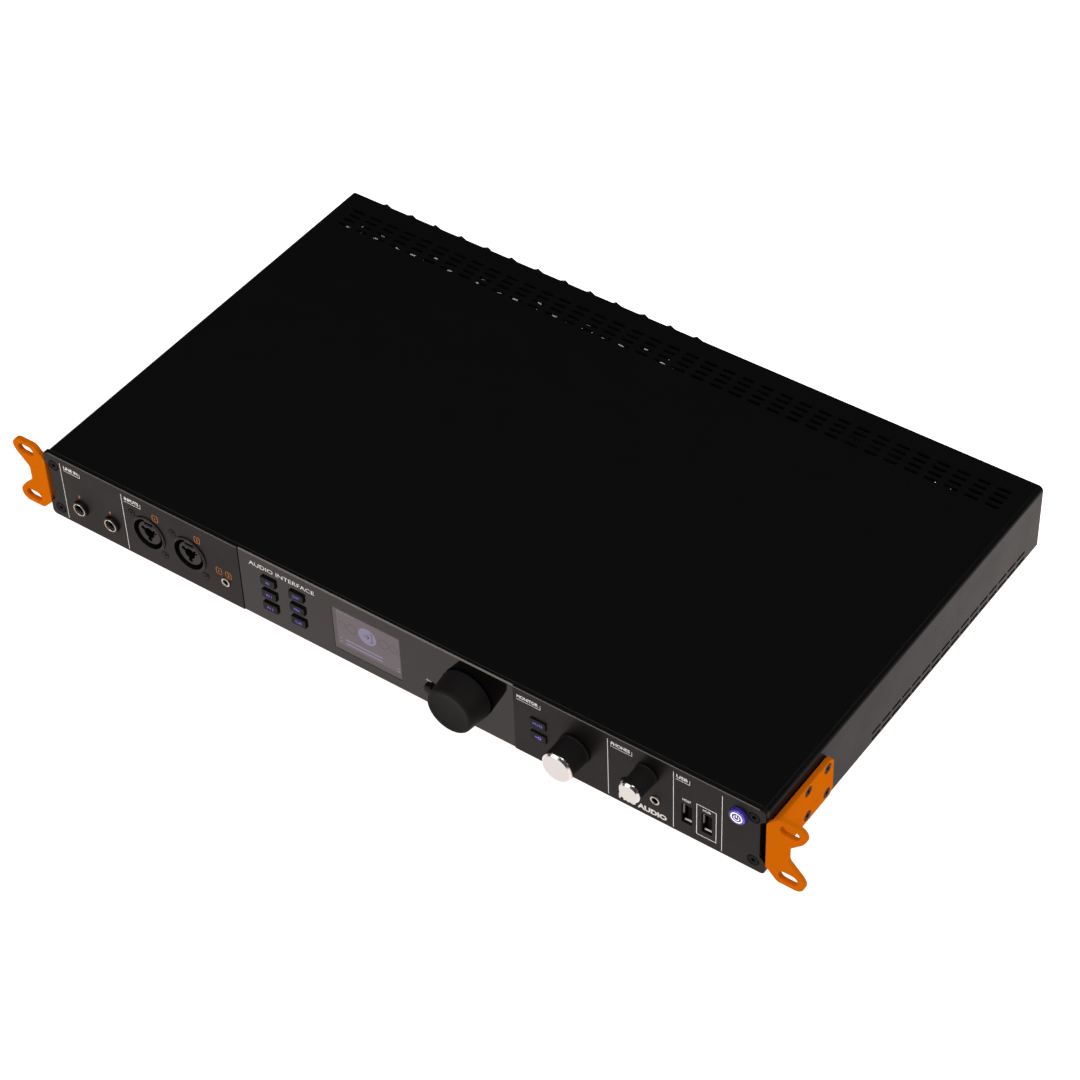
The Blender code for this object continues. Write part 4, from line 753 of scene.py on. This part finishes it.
def small_screw(name, x, z):
    """Flush screw with a cross recess; a dark ring around its head and dark fills in the cross are painted
    shade.
    """
    radius, arm = 1.85, (2.1, 0.5)
    head = [(0.0, -0.20), (1.4, -0.16), (1.8, -0.02), (radius, 0.2), (0.0, 0.2)]
    arms = [rounded(x, z, *arm, 0.1, 2)], [rounded(x, z, *reversed(arm), 0.1, 2)]
    obj = turned(name, [(x, z)], head, 36)
    combine(obj, [prism("arm", outline, -1, 0.05) for outline in arms])
    dress(obj, "panel_black")
    for index, outline in enumerate(arms, start=1):
        # Dark fills in the cross recess: painted shade
        recess = prism(f"{name}_recess_{index}", outline, -0.02 * index, 0.1)
        dress(recess, "button_black", finish_name="recess_dark")
    # Dark ring around the head: painted shade
    painted_shade_ring = turned(name + "_seat", [(x, z)], [(radius, -0.03), (2.3, -0.03), (2.3, 0.1), (radius, 0.1)], 40)
    dress(painted_shade_ring, "socket_black", finish_name="recess_dark")


def plug_jack(name, node_name, centre, proud):
    """6.35 mm jack: a black collar, a bright ring, a dark bore and its contact spring."""
    collar = [(3.8, -proud + 0.15), (4.3, -proud + 0.15), (4.6, -proud + 0.45), (4.75, -0.3)]
    collar += [(4.75, -0.02), (4.5, -0.02), (4.5, 6.0), (3.8, 6.0)]
    dress(turned(name + "_collar", [centre], collar, 64), "socket_black", stands_for=[node_name])
    ring = [(3.3, -proud + 0.12), (3.4, -proud), (3.7, -proud), (3.8, -proud + 0.12)]
    ring += [(3.8, 0.4), (3.3, 0.4)]
    dress(turned(name + "_ring", [centre], ring, 64), "socket_metal")
    bore = [(3.3, 0.4), (3.8, 0.4), (3.8, 26.0), (0.0, 26.0), (0.0, 25.0), (3.25, 25.0)]
    dress(turned(name + "_bore", [centre], bore, 40), "socket_black")
    x, z = centre
    spring = prism(name + "_spring", [rounded(x - 0.4, z + 2.1, 1.8, 0.35, 0.1, 2)], 5, 16)
    dress(spring, "socket_metal")


def small_jack(name, centre):
    """3.5 mm jack: a rounded bright ring and a dark bore."""
    ring = [(1.75, -0.35), (1.85, -0.6), (2.1, -0.75), (2.4, -0.7), (2.6, -0.55), (2.65, -0.05)]
    ring += [(2.5, -0.05), (2.5, 0.2), (1.75, 0.2)]
    dress(turned(name + "_ring", [centre], ring, 64), "socket_metal", stands_for=[name])
    bore = [(1.75, 0.2), (2.5, 0.2), (2.5, 13.0), (0.0, 13.0), (0.0, 12.5), (1.75, 12.5)]
    dress(turned(name + "_bore", [centre], bore, 32), "socket_black")


def usb_port(number, x, z):
    """Upright USB socket: a dark shell, its tongue with four contacts, and pale strips on its inner wall
    and along its lower edge as painted highlights.
    """
    name = f"usb_{number}"
    shell = prism(name + "_shell", [rounded(x, z, 5.9, 12.9, 0.4, 3)], 0.35, 17)
    combine(shell, [prism("inside", [rounded(x, z, 5.2, 12.2, 0.3, 3)], -1, 16)])
    dress(shell, "socket_metal", finish_name="screw_black", stands_for=[f"usb_socket_{number}"])
    tongue = block(name + "_tongue", (x - 0.2, 1.6, z - 5.5), (x + 1.7, 16.2, z + 5.5))
    dress(soften(tongue, 0.15, 2), "socket_black", finish_name="recess_dark")
    # Pale block on the inner wall: painted highlight
    glint = block(name + "_wall_glint", (x - 2.58, 1.1, z - 1.6), (x - 2.46, 2.3, z + 5.4))
    dress(glint, "socket_metal", finish_name="tin_glint_paint")
    back = block(name + "_back", (x - 2.6, 14.5, z - 6.1), (x + 2.6, 15.8, z + 6.1))
    dress(back, "socket_black")
    # Pale strip inside the lower edge: painted highlight in the print finish
    strip = prism(name + "_strip", [rounded(x + 0.45, z - 4.8, 4.0, 0.26, 0.12, 2)], 0.7, 1.5)
    dress(strip, "socket_metal", finish_name="print_white")
    bm = bmesh.new()
    for step in (-1.5, -0.5, 0.5, 1.5):
        add_bar(bm, (0.12, 9.0, 1.0), (x - 0.24, 6.6, z + step * 2.3))
    dress(add(name + "_pads", bm), "socket_metal", finish_name="contact_gold")
    spring = block(name + "_spring", (x - 2.45, 3.0, z - 2.6), (x - 2.15, 8.0, z + 2.6))
    dress(spring, "socket_metal", finish_name="screw_black")


def front_sockets():
    for number, (x, z) in enumerate(COMBOS, start=1):
        combo(number, x, z)
    plug_jack("inst_3", "instrument_jack_3", INSTRUMENT_JACKS[0], 1.9)
    plug_jack("inst_4", "instrument_jack_4", INSTRUMENT_JACKS[1], 1.9)
    plug_jack("phones_plug", "phones_jack_large", PHONES_JACK, 1.2)
    small_jack("line_minijack", LINE_MINIJACK)
    small_jack("phones_minijack", PHONES_MINIJACK)
    for number, (x, z) in enumerate(USB_PORTS, start=1):
        usb_port(number, x, z)


# ---------------------------------------------------------------- print

def section_label(name, text, x0, x1):
    """A section's name over a bracket that runs under it and up at its right."""
    lettering(name, text, x0 + 0.3, 38.65, 2.2, "print_white", width=x1 - x0 - 1.4, weight=0.03)
    strokes(name + "_bracket", [[(x0, 36.45), (x1, 36.45), (x1, 39.3)]], 0.28, "print_white")


def socket_number(name, text, x, z, boxed):
    """An orange socket number, in a box where the socket is one of a numbered pair."""
    if boxed:
        lettering(name, text, x, z, 2.1, "print_orange", align="middle")
        strokes(name + "_box", [rounded(x, z, 3.5, 4.1, 0.6, 3)], 0.25, "print_orange", closed=True)
    else:
        lettering(name, text, x, z, 2.0, "print_orange", align="middle", weight=0.03)


def panel_print():
    lines = [[(x, 1.7), (x, 40.5)] for x in (-208.7, -167.2, 132.6, 169.5, 196.35)]
    strokes("divider_lines", lines, 0.36, "print_white")
    section_label("label_a", "LINE IN", -206.7, -195.5)
    section_label("label_b", "INPUTS", -165.4, -154.5)
    section_label("label_c", "MONITOR", 80.1, 94.0)
    section_label("label_d", "PHONES", 134.15, 146.3)
    section_label("label_e", "USB", 170.8, 178.5)
    socket_number("number_3", "3", -198.3, 22.1, boxed=False)
    socket_number("number_4", "4", -177.4, 22.0, boxed=False)
    socket_number("number_1", "1", -145.2, 34.4, boxed=True)
    socket_number("number_2", "2", -117.5, 34.4, boxed=True)
    socket_number("number_1b", "1", -105.0, 19.6, boxed=True)
    socket_number("number_2b", "2", -98.8, 19.7, boxed=True)
    lettering("maker_word", "PRO AUDIO", 138.6, 4.5, 3.5, "print_white", width=27.2, weight=0.05)
    x0, x1, z0, z1 = 182.45, 193.2, 5.35, 26.15
    frame_line = [(x0, z0), (x1, z0), (x1, z1), (x0, z1)]
    strokes("usb_frame", [frame_line], 0.38, "print_white", closed=True)
    note = {"finish_name": "print_white", "align": "middle", "weight": 0.02}
    lettering("usb_note_1", "HOST", 176.9, 24.6, 1.6, width=4.7, **note)
    lettering("usb_note_2", "HUB", 188.0, 24.1, 1.5, width=4.3, **note)
    lettering("model_word", "AUDIO INTERFACE", -83.8, 37.7, 2.7, "print_white", width=41.4,
              depth=FASCIA_PRINT_DEPTH, slot="fascia_grey")


# ---------------------------------------------------------------- display

def display():
    """Display window with a generic picture: a disc with an arrow, two bars and four faint rings."""
    x0, x1, z0, z1 = SCREEN
    mask = block("screen_mask_frame", (x0 + 0.1, 0.62, z0 + 0.1), (x1 - 0.1, 1.4, z1 - 0.1))
    dress(mask, "screen_glass", finish_name="screen_border", stands_for=["display_window"])
    active = block("screen_active", (x0 + 2.6, 0.59, z0 + 4.4), (x1 - 0.6, 0.7, z1 - 0.6))
    dress(active, "screen_panel")
    depth = 0.55
    options = {"depth": depth, "slot": "screen_panel"}
    x, z = -10.55, 25.45
    disc = prism("screen_disc", [circle(x, z, 5.5, 48)], depth, 0.65)
    dress(disc, "screen_panel", finish_name="screen_violet")
    shaft, point = [(-13.1, z), (-9.3, z)], [(-10.9, 27.0), (-9.3, z), (-10.9, 23.9)]
    bracket = [(-9.1, 28.3), (-7.6, 28.3), (-7.6, 22.6), (-9.1, 22.6)]
    strokes("screen_arrow", [shaft, point, bracket], 0.45, "screen_dim", depth - 0.04, slot="screen_panel")
    places = ((-26.3, 25.2, 2.1), (-20.4, 25.3, 2.9), (-0.6, 25.9, 2.9), (5.5, 25.8, 2.4))
    rings = [circle(*place, 32) for place in places]
    strokes("screen_rings", rings, 0.3, "screen_dim", closed=True, **options)
    bars = [[(-24.6, z), (-1.9, z)] for z in (15.5, 13.05)]
    strokes("screen_bars", bars, 1.05, "screen_violet", **options)
    ticks = [[(-28.0, z), (-27.0, z)] for z in (15.6, 13.1)]
    ticks += [[(-28.6 + i * 1.5, 34.0), (-27.8 + i * 1.5, 34.0)] for i in range(7)]
    ticks += [[(7.5, 13.7), (8.5, 13.7)], [(7.3, 11.6), (8.6, 11.6)]]
    strokes("screen_marks", ticks, 0.5, "screen_light", **options)


# ---------------------------------------------------------------- rear and inside

def jack_bank(name, node_name, centres):
    """A row of nuts with their bushes, and the housing behind the rear panel."""
    def bores():
        return turned("bores", centres, [(0.0, 234.0), (3.3, 234.0), (3.3, 266.0), (0.0, 266.0)], 28)

    turns = [90 + 7 * math.sin(2.1 * i) for i in range(len(centres))]
    hexagons = [arc(x, z, 6.8, turn, turn + 300, 5) for (x, z), turn in zip(centres, turns)]
    nuts = prism(name + "_nuts", hexagons, 260.0, 262.9)
    bush = [(0.0, 258.0), (4.9, 258.0), (4.9, 263.4), (4.6, 263.7), (0.0, 263.7)]
    combine(nuts, [turned("bush", centres, bush, 32)], "UNION")
    combine(nuts, [bores()])
    soften(nuts, 0.15, 1, 50)
    dress(nuts, "socket_black", finish_name="screw_black")
    x0, x1 = min(x for x, _ in centres) - 8.2, max(x for x, _ in centres) + 8.2
    housing = block(name + "_housing", (x0, 230.2, 8.2), (x1, 258.2, 41.2))
    combine(housing, [bores()])
    dress(housing, "socket_black", finish_name="recess_dark", stands_for=[node_name])


def rear_jacks():
    jack_bank("input", "input_jack_bank", REAR_INPUTS)
    jack_bank("output", "output_jack_bank", REAR_OUTPUTS)
    ring = [(1.85, 260.2), (2.1, 260.5), (3.2, 260.5), (3.2, 257.5), (1.85, 257.5)]
    dress(turned("rear_mini_rings", REAR_MINIJACKS, ring, 40), "socket_metal")


def contact_leads():
    """Tinned spring leads that stand on top of the rear jacks, under the cover's vents; their pale matte
    colour partly paints in the glints of the tin.
    """
    leads = ((-5.2, 234.2, 3.2), (-1.0, 238.6, 2.4), (3.6, 233.8, 3.4))
    bm = bmesh.new()
    for column, x in enumerate(REAR_X):
        for row, (dx, depth, length) in enumerate(leads):
            turn = math.radians(14 * math.sin(column * 2.3 + row))
            shift = 1.2 * math.sin(column * 1.7 + row * 2.1)
            add_bar(bm, (length, 0.9, 0.4), (x + dx + shift, depth + 0.5 * shift, 41.35), turn)
    obj = add("contact_leads", bm)
    dress(soften(obj, 0.12, 2), "socket_metal", finish_name="tin_glint_paint")


def paint_cad():
    """Give every CAD node that still shows its finish."""
    slots = {part["node"]: part["material_slot"] for part in frame["record"]["subparts"]}
    for name, obj in frame["nodes"].items():
        if obj.hide_render:
            continue
        obj.data.materials.clear()
        obj.data.materials.append(FINISHES[slots[name]])


# ---------------------------------------------------------------- studio

def floor_material():
    """Pale, softly self-lit floor, a little brighter toward the back."""
    mat = bpy.data.materials.new("floor_white")
    mat.use_nodes = True
    tree = mat.node_tree
    front, back = -0.12, 0.14
    front_glow, back_glow = 1.15, 1.6
    shader = tree.nodes["Principled BSDF"]
    shader.inputs["Base Color"].default_value = (0.15, 0.15, 0.15, 1.0)
    shader.inputs["Roughness"].default_value = 0.9
    shader.inputs["Specular IOR Level"].default_value = 0.0
    shader.inputs["Emission Color"].default_value = (1.0, 0.905, 0.875, 1.0)
    spot = tree.nodes.new("ShaderNodeNewGeometry")
    split = tree.nodes.new("ShaderNodeSeparateXYZ")
    glow = tree.nodes.new("ShaderNodeMapRange")
    glow.inputs["From Min"].default_value = front
    glow.inputs["From Max"].default_value = back
    glow.inputs["To Min"].default_value = front_glow
    glow.inputs["To Max"].default_value = back_glow
    tree.links.new(spot.outputs["Position"], split.inputs["Vector"])
    tree.links.new(split.outputs["Y"], glow.inputs["Value"])
    tree.links.new(glow.outputs["Result"], shader.inputs["Emission Strength"])
    return mat


def area(name, location, target, size, power, colour=(1, 1, 1)):
    """A rectangular lamp aimed at a target, all in metres."""
    light = bpy.data.lights.new(name, "AREA")
    light.shape = "RECTANGLE"
    light.size, light.size_y = size
    light.energy = power
    light.color = colour
    obj = bpy.data.objects.new(name, light)
    bpy.context.scene.collection.objects.link(obj)
    obj.location = location
    obj.rotation_euler = (Vector(target) - Vector(location)).to_track_quat("-Z", "Y").to_euler()


def studio():
    bm = bmesh.new()
    bmesh.ops.create_grid(bm, x_segments=1, y_segments=1, size=6.0)
    floor = add("studio_floor", bm)
    floor.location.z = -0.2 * MM
    floor.data.materials.append(floor_material())
    world = bpy.data.worlds.new("studio")
    world.use_nodes = True
    world.node_tree.nodes["Background"].inputs["Color"].default_value = (0.03, 0.03, 0.031, 1.0)
    world.node_tree.nodes["Background"].inputs["Strength"].default_value = 1.0
    bpy.context.scene.world = world
    area("key", (-0.69, -1.12, 0.91), (0, 0, 0.02), (0.9, 0.6), 7.6, (1.0, 0.93, 0.88))
    area("overhead", (0.05, -0.62, 1.50), (0, 0, 0), (1.6, 0.9), 12.0, (1.0, 0.97, 0.95))
    area("side_fill", (1.4, -0.1, 0.9), (0.22, -0.1, 0.02), (0.8, 0.8), 8.0, (1.0, 0.96, 0.92))
    area("rim", (0.55, 1.3, 1.9), (0.1, 0, 0), (0.5, 0.3), 3.0)


def camera():
    """The photo's viewpoint: turned to the right, tilted down and slightly rolled."""
    yaw, pitch, roll = (math.radians(angle) for angle in CAMERA_ANGLES)
    back = Vector((math.sin(yaw) * math.cos(pitch), -math.cos(yaw) * math.cos(pitch), math.sin(pitch)))
    right = back.cross(Vector((0, 0, -1))).normalized()
    up = back.cross(right)
    across = math.cos(roll) * right + math.sin(roll) * up
    upward = -math.sin(roll) * right + math.cos(roll) * up
    data = bpy.data.cameras.new("studio_camera")
    data.lens = CAMERA_LENS
    data.sensor_width = CAMERA_SENSOR
    obj = bpy.data.objects.new("studio_camera", data)
    bpy.context.scene.collection.objects.link(obj)
    matrix = Matrix((across, upward, back)).transposed().to_4x4()
    matrix.translation = at(*CAMERA_PLACE)
    obj.matrix_world = matrix
    bpy.context.scene.camera = obj


top_cover()
front_panel()
panel_highlight_strips()
fascia()
screws()
rack_ears()
keys()
back_button()
power_button()
main_knob()
level_knob("monitor", MONITOR_KNOB, 8.5, 8.95)
level_knob("phones", PHONES_KNOB, 5.9, 6.4)
front_sockets()
panel_print()
display()
rear_jacks()
contact_leads()
paint_cad()
studio()
camera()
bpy.context.scene.view_settings.view_transform = "Standard"
